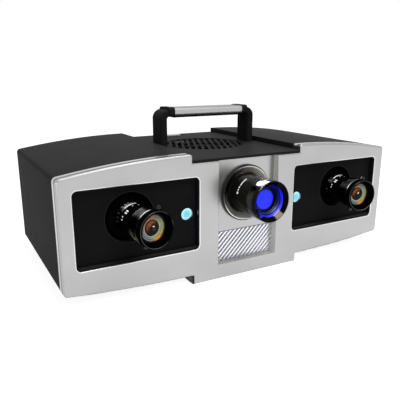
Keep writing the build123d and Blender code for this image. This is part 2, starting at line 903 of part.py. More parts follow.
# Projector engine on four feet, with cooling grooves along its flanks
engine_setback = -barrel_rear_along
engine_height = engine_top - engine_bottom
engine_mid_y = front_y + engine_setback + engine_length / 2
with BuildPart() as projector_engine:
    with BuildSketch(Plane.XY.offset(engine_bottom)):
        with Locations((0, engine_mid_y)):
            RectangleRounded(engine_width, engine_length, engine_radius)
    extrude(amount=engine_height)
    with BuildSketch(front_plane(engine_setback + 2 * engine_radius)):
        for flank in (-1, 1):
            with Locations((flank * engine_width / 2, engine_bottom + engine_height / 2)):
                with GridLocations(0, engine_groove_pitch, 1, engine_groove_count):
                    Rectangle(2 * engine_groove_depth, engine_groove_width)
    extrude(amount=-(engine_length - 4 * engine_radius), mode=Mode.SUBTRACT)
    with BuildSketch(front_plane(engine_setback - overrun)):
        with Locations((0, projector_z)):
            Circle(barrel_rear_bore_radius)
    extrude(amount=-engine_length / 2, mode=Mode.SUBTRACT)
    with BuildSketch(Plane.XY.offset(bench_top)):
        foot_span_x = engine_width - engine_foot_size
        foot_span_y = bench_depth - engine_foot_size - 2 * engine_radius
        with Locations((0, front_y + bench_setback + bench_depth / 2)):
            with GridLocations(foot_span_x, foot_span_y, 2, 2):
                Rectangle(engine_foot_size, engine_foot_size)
    extrude(amount=engine_bottom - bench_top)
keep(projector_engine.part, "projector_engine")

# Finned heat sink on the back of the engine
sink_setback = engine_setback + engine_length
sink_height = engine_height - sink_trim
with BuildPart() as heat_sink:
    with BuildSketch(front_plane(sink_setback)):
        with Locations((0, engine_bottom + engine_height / 2)):
            Rectangle(sink_width, sink_height)
    extrude(amount=-sink_base)
    with BuildSketch(front_plane(sink_setback + sink_base)):
        with Locations((0, engine_bottom + engine_height / 2)):
            with GridLocations((sink_width - sink_fin) / (sink_fin_count - 1), 0, sink_fin_count, 1):
                Rectangle(sink_fin, sink_height)
    extrude(amount=-(sink_length - sink_base))
keep(heat_sink.part, "heat_sink")

# Optical bench: one stiff plate with lightening slots and holes over its posts
bench_mid_y = front_y + bench_setback + bench_depth / 2
bench_post_span_y = bench_depth - 2 * bench_post_inset
with BuildPart() as optical_bench:
    with BuildSketch(Plane.XY.offset(bench_bottom)):
        with Locations((0, bench_mid_y)):
            RectangleRounded(bench_length, bench_depth, bench_corner_radius)
            with GridLocations(2 * bench_slot_x, bench_depth / 2, 2, 2):
                SlotOverall(bench_slot_length, bench_slot_width, mode=Mode.SUBTRACT)
            with GridLocations(2 * bench_post_x, bench_post_span_y, 2, 2):
                Circle(bench_post_bore_radius, mode=Mode.SUBTRACT)
    extrude(amount=bench_thickness)
keep(optical_bench.part, "optical_bench")

# Top cover between the housings: flanges, round vent with slanted ribs, key hole and screw holes
cover_length = body_depth - cover_front_setback
cover_mid_y = front_y + cover_front_setback + cover_length / 2
key_board_top = plate_top - key_flange_thickness - seat_gap - key_travel - seat_gap - key_switch_height
key_post_x = key_board_width / 2 - key_post_radius
key_y = front_y + key_setback
vent_slot_count = int(2 * vent_radius / vent_slot_pitch) + 1
with BuildPart() as top_cover:
    with BuildSketch(Plane.XY.offset(plate_top)):
        with Locations((0, cover_mid_y)):
            Rectangle(2 * inner_half, cover_length)
    extrude(amount=cover_thickness)
    fillet(top_cover.faces().sort_by(Axis.Z)[-1].edges(), cover_edge_radius)
    with BuildSketch(Plane.XY.offset(cover_top - vent_dish_depth)):
        with Locations((0, fan_y)):
            Circle(vent_radius + vent_dish_lap)
    extrude(amount=vent_dish_depth, mode=Mode.SUBTRACT)
    with BuildSketch(Plane.XY.offset(plate_top - overrun)):
        with Locations(Location((0, fan_y), -vent_angle)):
            with GridLocations(vent_slot_pitch, 0, vent_slot_count, 1):
                Rectangle(vent_slot_width, 2 * vent_radius)
            with GridLocations(0, vent_spine_spacing, 1, vent_spine_count):
                Rectangle(2 * vent_radius, vent_spine_width, mode=Mode.SUBTRACT)
        with Locations((0, fan_y)):
            Circle(vent_radius, mode=Mode.INTERSECT)
    extrude(amount=cover_thickness + 2 * overrun, mode=Mode.SUBTRACT)
    with BuildSketch(Plane.XY.offset(plate_top - overrun)):
        with Locations((0, key_y)):
            RectangleRounded(key_width + 2 * seat_gap, key_depth + 2 * seat_gap, key_radius + seat_gap)
        with Locations((0, front_y + handle_setback)):
            with GridLocations(2 * handle_screw_x, 0, 2, 1):
                Circle(handle_screw_radius + seat_gap)
    extrude(amount=cover_thickness + 2 * overrun, mode=Mode.SUBTRACT)
    with BuildSketch(Plane.XY.offset(plate_top)):
        flange_length = rear_setback - plate_depth
        with Locations((0, front_y + plate_depth + flange_length / 2)):
            with GridLocations(2 * inner_half - cover_flange, 0, 2, 1):
                Rectangle(cover_flange, flange_length)
    extrude(amount=-cover_flange_height)
    with BuildSketch(Plane.XY.offset(key_board_top)):
        with Locations((0, key_y)):
            with GridLocations(2 * key_post_x, 0, 2, 1):
                Circle(key_post_radius)
    extrude(amount=plate_top - key_board_top)
keep(top_cover.part, "top_cover")

# Power key and the small board with its switch
key_bottom = plate_top - key_flange_thickness - seat_gap
with BuildPart() as power_key:
    with BuildSketch(Plane.XY.offset(key_bottom)):
        with Locations((0, key_y)):
            RectangleRounded(key_width + 2 * key_flange_lap, key_depth + 2 * key_flange_lap, key_radius)
    extrude(amount=key_flange_thickness)
    with BuildSketch(Plane.XY.offset(key_bottom)):
        with Locations((0, key_y)):
            RectangleRounded(key_width, key_depth, key_radius)
    extrude(amount=cover_top + key_proud - key_bottom)
    fillet(power_key.faces().sort_by(Axis.Z)[-1].edges(), key_top_radius)
keep(power_key.part, "power_key")

with BuildPart() as key_board:
    with BuildSketch(Plane.XY.offset(key_board_top)):
        with Locations((0, key_y)):
            Rectangle(key_board_width, key_board_depth)
    extrude(amount=-board_thickness)
    with BuildSketch(Plane.XY.offset(key_board_top)):
        with Locations((0, key_y)):
            Rectangle(key_switch_size, key_switch_size)
    extrude(amount=key_switch_height)
keep(key_board.part, "key_board")

# Carrying handle: two elbows, a hollow grip between them, its lower pad and the screws
handle_y = front_y + handle_setback
handle_half = handle_width / 2
grip_half = grip_length / 2
grip_bottom = handle_top - grip_height
arm_top = handle_top - elbow_drop
arm_bottom = arm_top - elbow_arm
tenon_depth = grip_depth - 2 * grip_wall - 2 * seat_gap
tenon_height = grip_height - 2 * grip_wall - 2 * seat_gap
grip_mid_z = handle_top - grip_height / 2


def handle_elbow(side):
    """Moulded elbow: leg, rounded corner, collar and the tenon that fills the grip's end."""
    inner_x = handle_half - handle_leg
    with BuildPart() as elbow:
        with BuildSketch(Plane.XZ.offset(-handle_y)) as bend:
            with BuildLine():
                Polyline((side * handle_half, cover_top), (side * handle_half, arm_top),
                         (side * grip_half, arm_top), (side * grip_half, arm_bottom),
                         (side * inner_x, arm_bottom), (side * inner_x, cover_top), close=True)
            make_face()
            fillet(bend.vertices().group_by(Axis.Y)[-1].sort_by(Axis.X, reverse=side > 0)[:1],
                   handle_outer_radius)
            fillet(bend.vertices().filter_by_position(Axis.Y, arm_bottom, arm_bottom)
                   .sort_by(Axis.X, reverse=side > 0)[:1], handle_inner_radius)
        extrude(amount=handle_leg_depth / 2, both=True)
        side_edges = elbow.faces().filter_by(Axis.Y).edges()
        fillet(side_edges - side_edges.group_by(Axis.Z)[0], handle_edge_radius)
        with BuildSketch(Plane.YZ.offset(side * grip_half)):
            with Locations((handle_y, grip_mid_z)):
                RectangleRounded(grip_depth + 2 * collar_lap, grip_height + 2 * collar_lap,
                                 grip_radius + collar_lap)
        extrude(amount=side * handle_collar_length)
        with BuildSketch(Plane.YZ.offset(side * grip_half)):
            with Locations((handle_y, grip_mid_z)):
                Rectangle(tenon_depth, tenon_height)
        extrude(amount=-side * tenon_length)
        with BuildSketch(Plane.XY.offset(cover_top - overrun)):
            with Locations((side * handle_screw_x, handle_y)):
                Circle(handle_screw_radius + running_gap)
        extrude(amount=handle_screw_reach + 2 * overrun, mode=Mode.SUBTRACT)
    return elbow.part


for side_name, side in SIDES.items():
    keep(handle_elbow(side), f"{side_name}_handle_elbow")

with BuildPart() as handle_grip:
    with BuildSketch(Plane.YZ.offset(-grip_half)):
        with Locations((handle_y, grip_mid_z)):
            RectangleRounded(grip_depth, grip_height, grip_radius)
            Rectangle(grip_depth - 2 * grip_wall, grip_height - 2 * grip_wall, mode=Mode.SUBTRACT)
    extrude(amount=grip_length)
keep(handle_grip.part, "handle_grip")

with BuildPart() as grip_pad:
    with BuildSketch(Plane.XY.offset(grip_bottom)):
        with Locations((0, handle_y)):
            Rectangle(grip_length, grip_pad_depth)
    extrude(amount=-grip_pad_thickness)
keep(grip_pad.part, "grip_pad")

with BuildPart() as handle_screws:
    with BuildSketch(Plane.XY.offset(plate_top)):
        with Locations((0, handle_y)):
            with GridLocations(2 * handle_screw_x, 0, 2, 1):
                Circle(handle_screw_head_radius)
    extrude(amount=-handle_screw_head_height)
    with BuildSketch(Plane.XY.offset(plate_top)):
        with Locations((0, handle_y)):
            with GridLocations(2 * handle_screw_x, 0, 2, 1):
                Circle(handle_screw_radius)
    extrude(amount=cover_thickness + handle_screw_reach)
keep(handle_screws.part, "handle_screws")

# Fan frame with its motor plate and spindle, and the bladed rotor that turns on it
with BuildPart() as fan_frame:
    with BuildSketch(Plane.XY.offset(fan_bottom)):
        with Locations((0, fan_y)):
            RectangleRounded(fan_size, fan_size, fan_corner_radius)
            Circle(fan_bore_radius, mode=Mode.SUBTRACT)
    extrude(amount=fan_depth)
    with BuildSketch(Plane.XY.offset(fan_bottom)):
        with Locations((0, fan_y)):
            with PolarLocations(0, fan_strut_count // 2, angular_range=180):
                Rectangle(2 * fan_bore_radius + overrun, fan_strut_width)
            Circle(fan_motor_radius)
    extrude(amount=fan_plate)
    with BuildSketch(Plane.XY.offset(fan_bottom)):
        with Locations((0, fan_y)):
            Circle(fan_spindle_radius)
    extrude(amount=fan_depth - fan_plate)
keep(fan_frame.part, "fan_frame")

rotor_bottom = fan_bottom + fan_plate + fan_axial_gap
rotor_height = fan_depth - fan_plate - 2 * fan_axial_gap
with BuildPart() as fan_rotor:
    with BuildSketch(Plane(origin=(fan_hub_radius / 2, fan_y, rotor_bottom + rotor_height / 2),
                           x_dir=(0, 1, 0), z_dir=(1, 0, 0))):
        Rectangle(rotor_height * 2, fan_blade_thickness, rotation=fan_blade_angle)
        Rectangle(rotor_height * 2, rotor_height, mode=Mode.INTERSECT)
    blade = extrude(amount=fan_blade_radius, mode=Mode.PRIVATE)
    with Locations((0, fan_y)):
        with PolarLocations(0, fan_blade_count):
            add(blade.moved(Location((0, -fan_y))))
    with BuildSketch(Plane.XY.offset(rotor_bottom)):
        with Locations((0, fan_y)):
            Circle(fan_blade_radius)
    extrude(amount=rotor_height, mode=Mode.INTERSECT)
    with BuildSketch(Plane.XY.offset(rotor_bottom)):
        with Locations((0, fan_y)):
            Circle(fan_hub_radius)
    extrude(amount=rotor_height)
    with BuildSketch(Plane.XY.offset(rotor_bottom)):
        with Locations((0, fan_y)):
            Circle(fan_spindle_radius + running_gap)
    extrude(amount=rotor_height, mode=Mode.SUBTRACT)
keep(fan_rotor.part, "fan_rotor")

# Base: floor, side walls, ribs, posts under the bench and the boss around the tripod socket
base_length = rear_setback - plate_depth
base_mid_y = front_y + plate_depth + base_length / 2
with BuildPart() as base_tray:
    with BuildSketch(Plane.XY):
        with Locations((0, base_mid_y)):
            Rectangle(2 * inner_half, base_length)
    extrude(amount=base_floor)
    with BuildSketch(Plane.XY.offset(base_floor)):
        with Locations((0, base_mid_y)):
            with GridLocations(2 * inner_half - base_wall, 0, 2, 1):
                Rectangle(base_wall, base_length)
    extrude(amount=base_wall_top - base_floor)
    with BuildSketch(Plane.XY.offset(base_floor)):
        Rectangle(2 * inner_half, base_rib_width)
        with Locations((0, base_mid_y)):
            Rectangle(base_rib_width, base_length)
    extrude(amount=base_rib_height)
    with BuildSketch(Plane.XY.offset(base_floor)):
        with Locations((0, bench_mid_y)):
            with GridLocations(2 * bench_post_x, bench_post_span_y, 2, 2):
                Circle(bench_post_radius)
                Circle(bench_post_bore_radius, mode=Mode.SUBTRACT)
    extrude(amount=bench_bottom - base_floor)
    with BuildSketch(Plane.XY.offset(base_floor)):
        Circle(socket_boss_radius)
    extrude(amount=socket_boss_height - base_floor)
    with BuildSketch(Plane.XY):
        Circle(bush_radius)
    extrude(amount=socket_boss_height, mode=Mode.SUBTRACT)
keep(base_tray.part, "base_tray")

# Steel bush with the tripod socket, flanged on top of the boss
tripod_bush = turned(Plane(origin=(0, 0, 0), x_dir=(0, 0, 1), z_dir=(0, 1, 0)), [
    (0, socket_thread_radius),
    (0, bush_radius - running_gap),
    (socket_boss_height, bush_radius - running_gap),
    (socket_boss_height, bush_flange_radius),
    (socket_boss_height + bush_flange_thickness, bush_flange_radius),
    (socket_boss_height + bush_flange_thickness, 0),
    (socket_depth, 0),
    (socket_depth, socket_thread_radius),
])
keep(tripod_bush, "tripod_bush")

# Rear panel: vent slots above, three socket holes below
main_board_setback = rear_setback - main_board_standoff
with BuildPart() as rear_panel:
    with BuildSketch(front_plane(rear_setback)):
        Rectangle(2 * inner_half, plate_top, align=(Align.CENTER, Align.MIN))
    extrude(amount=-rear_panel_thickness)
    with BuildSketch(front_plane(rear_setback - overrun)):
        with Locations((0, rear_vent_z + rear_vent_pitch * (rear_vent_rows - 1) / 2)):
            with GridLocations(rear_vent_spacing, rear_vent_pitch, rear_vent_columns, rear_vent_rows):
                SlotOverall(rear_vent_length, rear_vent_height)
        with Locations((inlet_x, socket_z)):
            Circle(inlet_radius + seat_gap)
        with Locations((data_x, socket_z)):
            Rectangle(data_width + 2 * seat_gap, data_height + 2 * seat_gap)
        with Locations((video_x, socket_z)):
            Rectangle(video_width + 2 * seat_gap, video_height + 2 * seat_gap)
    extrude(amount=-(rear_panel_thickness + 2 * overrun), mode=Mode.SUBTRACT)
    with BuildSketch(front_plane(rear_setback)):
        with Locations((0, main_board_bottom + main_board_height / 2)):
            with GridLocations(main_board_width - 2 * standoff_inset,
                               main_board_height - 2 * standoff_inset, 2, 2):
                Circle(standoff_radius)
    extrude(amount=main_board_standoff)
keep(rear_panel.part, "rear_panel")

with BuildPart() as main_board:
    with BuildSketch(front_plane(main_board_setback)):
        with Locations((0, main_board_bottom + main_board_height / 2)):
            Rectangle(main_board_width, main_board_height)
    extrude(amount=board_thickness)
keep(main_board.part, "main_board")

# Round power inlet with its pins
socket_back = body_depth + socket_proud
with BuildPart() as power_inlet:
    with BuildSketch(front_plane(main_board_setback)):
        with Locations((inlet_x, socket_z)):
            Circle(inlet_radius)
    extrude(amount=-(socket_back - main_board_setback))
    with BuildSketch(front_plane(body_depth)):
        with Locations((inlet_x, socket_z)):
            Circle(inlet_flange_radius)
    extrude(amount=-socket_proud)
    with BuildSketch(front_plane(socket_back)):
        with Locations((inlet_x, socket_z)):
            Circle(inlet_bore_radius)
            with PolarLocations(inlet_pin_circle, inlet_pin_count):
                Circle(inlet_pin_radius, mode=Mode.SUBTRACT)
    extrude(amount=inlet_bore_depth, mode=Mode.SUBTRACT)
keep(power_inlet.part, "power_inlet")


def board_socket(place_x, width, height, opening, depth, tongue):
    """Rectangular socket on the main board, with a tongue in its opening."""
    with BuildPart() as socket:
        with BuildSketch(front_plane(main_board_setback)):
            with Locations((place_x, socket_z)):
                Rectangle(width, height)
        extrude(amount=-(socket_back - main_board_setback))
        with BuildSketch(front_plane(socket_back)):
            with Locations((place_x, socket_z)):
                Rectangle(*opening)
                Rectangle(*tongue, mode=Mode.SUBTRACT)
        extrude(amount=depth, mode=Mode.SUBTRACT)
    return socket.part


keep(board_socket(data_x, data_width, data_height, (data_opening_width, data_opening_height),
                  data_depth, (data_tongue_width, data_tongue_height)), "data_socket")
keep(board_socket(video_x, video_width, video_height, (video_opening_width, video_opening_height),
                  video_depth, (video_tongue_width, video_tongue_height)), "video_socket")
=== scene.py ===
"""Looks of a twin-camera three-d scanner head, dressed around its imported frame."""

import json
import logging
import math
from dataclasses import dataclass, field
from enum import Enum
from functools import cached_property, partial

import bmesh
import bpy
from bpy.types import GeometryNodeTree, Material, Mesh, Node, NodeSocket, NodeTree, Object
from mathutils import Matrix, Quaternion, Vector


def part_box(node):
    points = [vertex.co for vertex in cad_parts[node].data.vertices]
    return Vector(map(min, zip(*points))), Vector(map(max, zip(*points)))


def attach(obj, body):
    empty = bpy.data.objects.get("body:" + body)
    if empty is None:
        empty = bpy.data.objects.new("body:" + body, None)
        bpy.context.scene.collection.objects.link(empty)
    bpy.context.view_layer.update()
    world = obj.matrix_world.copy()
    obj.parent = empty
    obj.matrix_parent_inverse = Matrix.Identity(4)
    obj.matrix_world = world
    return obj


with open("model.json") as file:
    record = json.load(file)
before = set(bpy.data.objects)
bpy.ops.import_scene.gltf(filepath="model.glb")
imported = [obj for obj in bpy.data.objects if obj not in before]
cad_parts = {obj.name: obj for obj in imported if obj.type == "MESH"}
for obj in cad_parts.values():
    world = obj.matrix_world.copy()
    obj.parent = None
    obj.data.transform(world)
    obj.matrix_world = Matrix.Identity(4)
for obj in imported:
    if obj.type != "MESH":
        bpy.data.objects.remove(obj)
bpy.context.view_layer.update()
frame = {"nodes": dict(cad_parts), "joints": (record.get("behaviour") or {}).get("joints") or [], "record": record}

MM = 0.001
PHOTO_PIXELS = 400
SENSOR_MM = 36.0
NEAR_CLIP_M = 0.01
ROOT_BODY = "scanner_body"
SCREW_SLOT = "screw_black"
PRINT_KEY = "print_white"
WHITE = "#FFFFFF"
LOG = logging.getLogger("scanner")

Colour = tuple[float, float, float, float]
Point = tuple[float, float, float]
Stops = tuple[tuple[float, str], ...]
Sockets = bpy.types.bpy_prop_collection

# Blender's names for the node types that come up most
MATH = "ShaderNodeMath"
VECTOR = "ShaderNodeVectorMath"
MIX = "ShaderNodeMix"
RAMP = "ShaderNodeValToRGB"
RANGE = "ShaderNodeMapRange"
MAPPING = "ShaderNodeMapping"
SEPARATE = "ShaderNodeSeparateXYZ"
COMBINE = "ShaderNodeCombineXYZ"

# Shares of a normal that tell one kind of face from another
WALL_LEAN = 0.5
ROUND_LEAN = 0.3
SIDE_LEAN = 0.2

# Takes the Y out of a vector, which leaves the view from the front
FRONT_VIEW = (1.0, 0.0, 1.0)
# Where on a pattern from 0 to 1 one tint ends and the next begins
SOFT_STEP = (0.35, 0.65)
MOTTLE_OCTAVES = 3.0
GRAIN_OCTAVES = 2.0
GRAIN_STRENGTH = 0.5
SMOOTHEST = 0.02


class Side(Enum):
    """The scanner's sides, as seen by someone who faces the lenses."""

    LEFT = -1
    RIGHT = 1

    @property
    def word(self) -> str:
        """Side as the first word of a node's name."""
        return self.name.lower()


class Run(Enum):
    """How a finish's grain runs, as the stretch of its pattern."""

    EVEN = (1.0, 1.0, 1.0)
    ALONG_X = (0.02, 1.0, 1.0)


class Test(Enum):
    """How a mask compares a value with its limit."""

    BELOW = "LESS_THAN"
    ABOVE = "GREATER_THAN"


BELOW, ABOVE = Test


class MarkShape(Enum):
    """What a printed mark looks like."""

    DOT = "dot"
    BAR = "bar"


DOT, BAR = MarkShape


def linear(hex_colour: str) -> Colour:
    """Turn an sRGB hex colour into linear light.

    Args:
        hex_colour: Six hex digits after a hash sign.

    Returns:
        Red, green, blue and an alpha of one.
    """
    parts = [int(hex_colour[i:i + 2], 16) / 255 for i in (1, 3, 5)]
    red, green, blue = (c / 12.92 if c <= 0.04045 else ((c + 0.055) / 1.055) ** 2.4 for c in parts)
    return red, green, blue, 1.0


def plug(tree: NodeTree, socket: NodeSocket, value: object) -> None:
    """Set an input, or link it.

    Args:
        tree: Node tree that holds the input.
        socket: The input.
        value: A node, whose first output in use is linked, an output, a hex colour or a value.
    """
    if isinstance(value, Node):
        value = next(output for output in value.outputs if output.enabled)
    if isinstance(value, NodeSocket):
        tree.links.new(value, socket)
    else:
        socket.default_value = linear(value) if isinstance(value, str) else value


def add_node(tree: NodeTree, kind: str, *values: object,
             named: dict[str, object] | None = None, stops: Stops = (),
             **settings: object) -> Node:
    """Add a node with its settings, values and links.

    Args:
        tree: Node tree that the node joins.
        kind: Blender's name for the node's type.
        values: What its inputs in use get, in their order, as plug takes it.
        named: What other inputs get, by their names.
        stops: Places and hex colours of a ramp.
        settings: Properties of the node itself.

    Returns:
        The new node.
    """
    node = tree.nodes.new(kind)
    for name, value in settings.items():
        setattr(node, name, value)
    in_use = [socket for socket in node.inputs if socket.enabled]
    for socket, value in zip(in_use, values):
        plug(tree, socket, value)
    for name, value in (named or {}).items():
        plug(tree, node.inputs[name], value)
    for number, (place, colour) in enumerate(stops):
        elements = node.color_ramp.elements
        element = elements[number] if number < 2 else elements.new(place)
        element.position = place
        element.color = linear(colour)
    return node


@dataclass(frozen=True)
class Axis:
    """Axis of a turned piece: a point on it, and the turn about +Z that brings -Y onto it."""

    point_mm: Point = (0.0, 0.0, 0.0)
    turn_deg: float = 0.0

    @classmethod
    def of_joint(cls, name: str) -> "Axis":
        """Read a turning joint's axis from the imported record.

        Args:
            name: The joint's name.

        Returns:
            The axis, through the joint's point.
        """
        joint = next(j for j in frame["joints"] if j["name"] == name)
        way = Vector(joint["axis"])
        return cls(tuple(Vector(joint["pos_m"]) / MM), math.degrees(math.atan2(way.x, -way.y)))

    @classmethod
    def of_node(cls, node: str) -> "Axis":
        """Return the axis along -Y through the middle of a node."""
        low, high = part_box(node)
        return cls(tuple((low + high) / 2 / MM))

    @property
    def turn(self) -> Point:
        """Turn about X, Y and Z, in radians."""
        return 0.0, 0.0, math.radians(self.turn_deg)

    @property
    def frame(self) -> Matrix:
        """Frame at the point, with +Z out along the axis and +Y up."""
        aside = Matrix.Rotation(math.radians(self.turn_deg), 4, "Z")
        upright = Matrix.Rotation(math.pi / 2, 4, "X")
        return Matrix.Translation(Vector(self.point_mm) * MM) @ aside @ upright


class Surface:
    """A material under construction: its shader, and the measures that its patterns read."""

    def __init__(self, name: str, axis: Axis) -> None:
        """Start a material with a bare shader.

        Args:
            name: The material's name.
            axis: The piece's axis, for the measures around it.
        """
        self.axis = axis
        self.material = bpy.data.materials.new(name)
        self.material.use_nodes = True
        self.tree = self.material.node_tree
        self.shader = self.tree.nodes["Principled BSDF"]
        self.coords = self.add("ShaderNodeTexCoord").outputs
        self.fine: Node | None = None

    def add(self, kind: str, *values: object, **rest: object) -> Node:
        """Add a node to this material's tree, as add_node does."""
        return add_node(self.tree, kind, *values, **rest)

    def feed(self, sockets: dict[str, object]) -> None:
        """Set or link the shader's inputs, by their names."""
        for name, value in sockets.items():
            plug(self.tree, self.shader.inputs[name], value)

    @cached_property
    def place(self) -> Sockets:
        """X, Y and Z of the place on the surface, in metres."""
        return self.add(SEPARATE, self.coords["Object"]).outputs

    @cached_property
    def normal(self) -> Sockets:
        """X, Y and Z of the way that the surface faces."""
        return self.add(SEPARATE, self.coords["Normal"]).outputs

    @cached_property
    def facing(self) -> Node:
        """How squarely the surface faces the front or the back, from 0 to 1."""
        return self.add(MATH, self.normal["Y"], operation="ABSOLUTE")

    @cached_property
    def local(self) -> Node:
        """Place measured from the axis's point, with -Y out along the axis."""
        return self.add(MAPPING, self.coords["Object"], vector_type="TEXTURE", named={
            "Location": Vector(self.axis.point_mm) * MM, "Rotation": self.axis.turn})

    @cached_property
    def arm(self) -> Node:
        """Arm from the axis to the place."""
        return self.add(VECTOR, self.local, FRONT_VIEW, operation="MULTIPLY")

    @cached_property
    def arm_way(self) -> Node:
        """Direction of that arm."""
        return self.add(VECTOR, self.arm, operation="NORMALIZE")

    @cached_property
    def along(self) -> Node:
        """Distance out along the axis, in metres."""
        parts = self.add(SEPARATE, self.local).outputs
        return self.add(MATH, parts["Y"], -1.0, operation="MULTIPLY")

    @cached_property
    def outward(self) -> Node:
        """1 where the surface faces away from the axis, and -1 where it faces the axis."""
        normal = self.add(MAPPING, self.coords["Normal"], vector_type="TEXTURE",
                          named={"Rotation": self.axis.turn})
        return self.add(VECTOR, normal, self.arm_way, operation="DOT_PRODUCT")

    def share(self, radius_mm: float) -> Node:
        """Return the distance from the axis as a share of a radius."""
        reach = self.add(VECTOR, self.arm, operation="LENGTH")
        return self.add(MATH, reach, radius_mm * MM, operation="DIVIDE")

    def towards(self, turn_deg: float) -> Node:
        """Return 1 where the arm points to an angle from the top, and -1 where it points away."""
        way = math.sin(math.radians(turn_deg)), 0.0, math.cos(math.radians(turn_deg))
        return self.add(VECTOR, self.arm_way, way, operation="DOT_PRODUCT")

    def grain(self, size_mm: float, octaves: float, run: Run) -> Node:
        """Make an uneven pattern of a real size.

        Args:
            size_mm: Size of one grain, in millimetres.
            octaves: Octaves of finer grain.
            run: How the grain runs.

        Returns:
            The pattern, from 0 to 1.
        """
        stretched = self.add(MAPPING, self.coords["Object"], named={"Scale": run.value})
        return self.add("ShaderNodeTexNoise", named={
            "Vector": stretched, "Scale": 1 / (size_mm * MM), "Detail": octaves})

    def where(self, *tests: tuple[object, Test, float]) -> Node:
        """Make a mask.

        Args:
            tests: A value, how it is compared, and its limit, for each test.

        Returns:
            1 where all the tests hold, and 0 elsewhere.
        """
        masks = [self.add(MATH, value, limit, operation=test.value) for value, test, limit in tests]
        whole = masks[0]
        for mask in masks[1:]:
            whole = self.add(MATH, whole, mask, operation="MULTIPLY")
        return whole

    def coats(self, colour: object, *layers: tuple[object, object]) -> object:
        """Lay tints over a colour.

        Args:
            colour: What lies under all of them.
            layers: A mask and its tint, for each coat.

        Returns:
            The colour with its coats.
        """
        for mask, tint in layers:
            colour = self.add(MIX, mask, colour, tint, data_type="RGBA")
        return colour


@dataclass(frozen=True)
class Finish:
    """A finish with uneven colour, uneven gloss and a fine grain in relief."""

    name: str
    colour: str
    shade: str
    roughness: float
    metallic: float = 0.0
    specular: float = 0.5
    mottle_mm: float = 40.0
    # Real grain is about 0.2 mm, too fine to show, so it is drawn coarser
    grain_mm: float = 1.2
    grain_depth_mm: float = 0.02
    gloss_spread: float = 0.05
    run: Run = Run.EVEN
    axis: Axis = Axis()

    def mottle(self, surface: Surface) -> Node:
        """Return the finish's uneven colour."""
        cloud = surface.grain(self.mottle_mm, MOTTLE_OCTAVES, self.run)
        return surface.add(RAMP, cloud, stops=tuple(zip(SOFT_STEP, (self.shade, self.colour))))

    def pattern(self, surface: Surface) -> Node | NodeSocket:
        """Return what the gloss follows: here the fine grain."""
        return surface.fine

    def gloss(self, surface: Surface) -> Node:
        """Return uneven roughness."""
        return surface.add(RANGE, self.pattern(surface), named={
            "To Min": max(SMOOTHEST, self.roughness - self.gloss_spread),
            "To Max": self.roughness + self.gloss_spread})

    def dress(self, surface: Surface) -> None:
        """Bring colour and gloss to the shader."""
        surface.feed({"Base Color": self.mottle(surface), "Roughness": self.gloss(surface)})

    def make(self) -> Material:
        """Build the material.

        Returns:
            The finished material.
        """
        surface = Surface(self.name, self.axis)
        surface.fine = surface.grain(self.grain_mm, GRAIN_OCTAVES, self.run)
        relief = surface.add("ShaderNodeBump", named={
            "Height": surface.fine, "Strength": GRAIN_STRENGTH,
            "Distance": self.grain_depth_mm * MM})
        surface.feed({
            "Normal": relief, "Metallic": self.metallic, "Specular IOR Level": self.specular})
        self.dress(surface)
        return surface.material


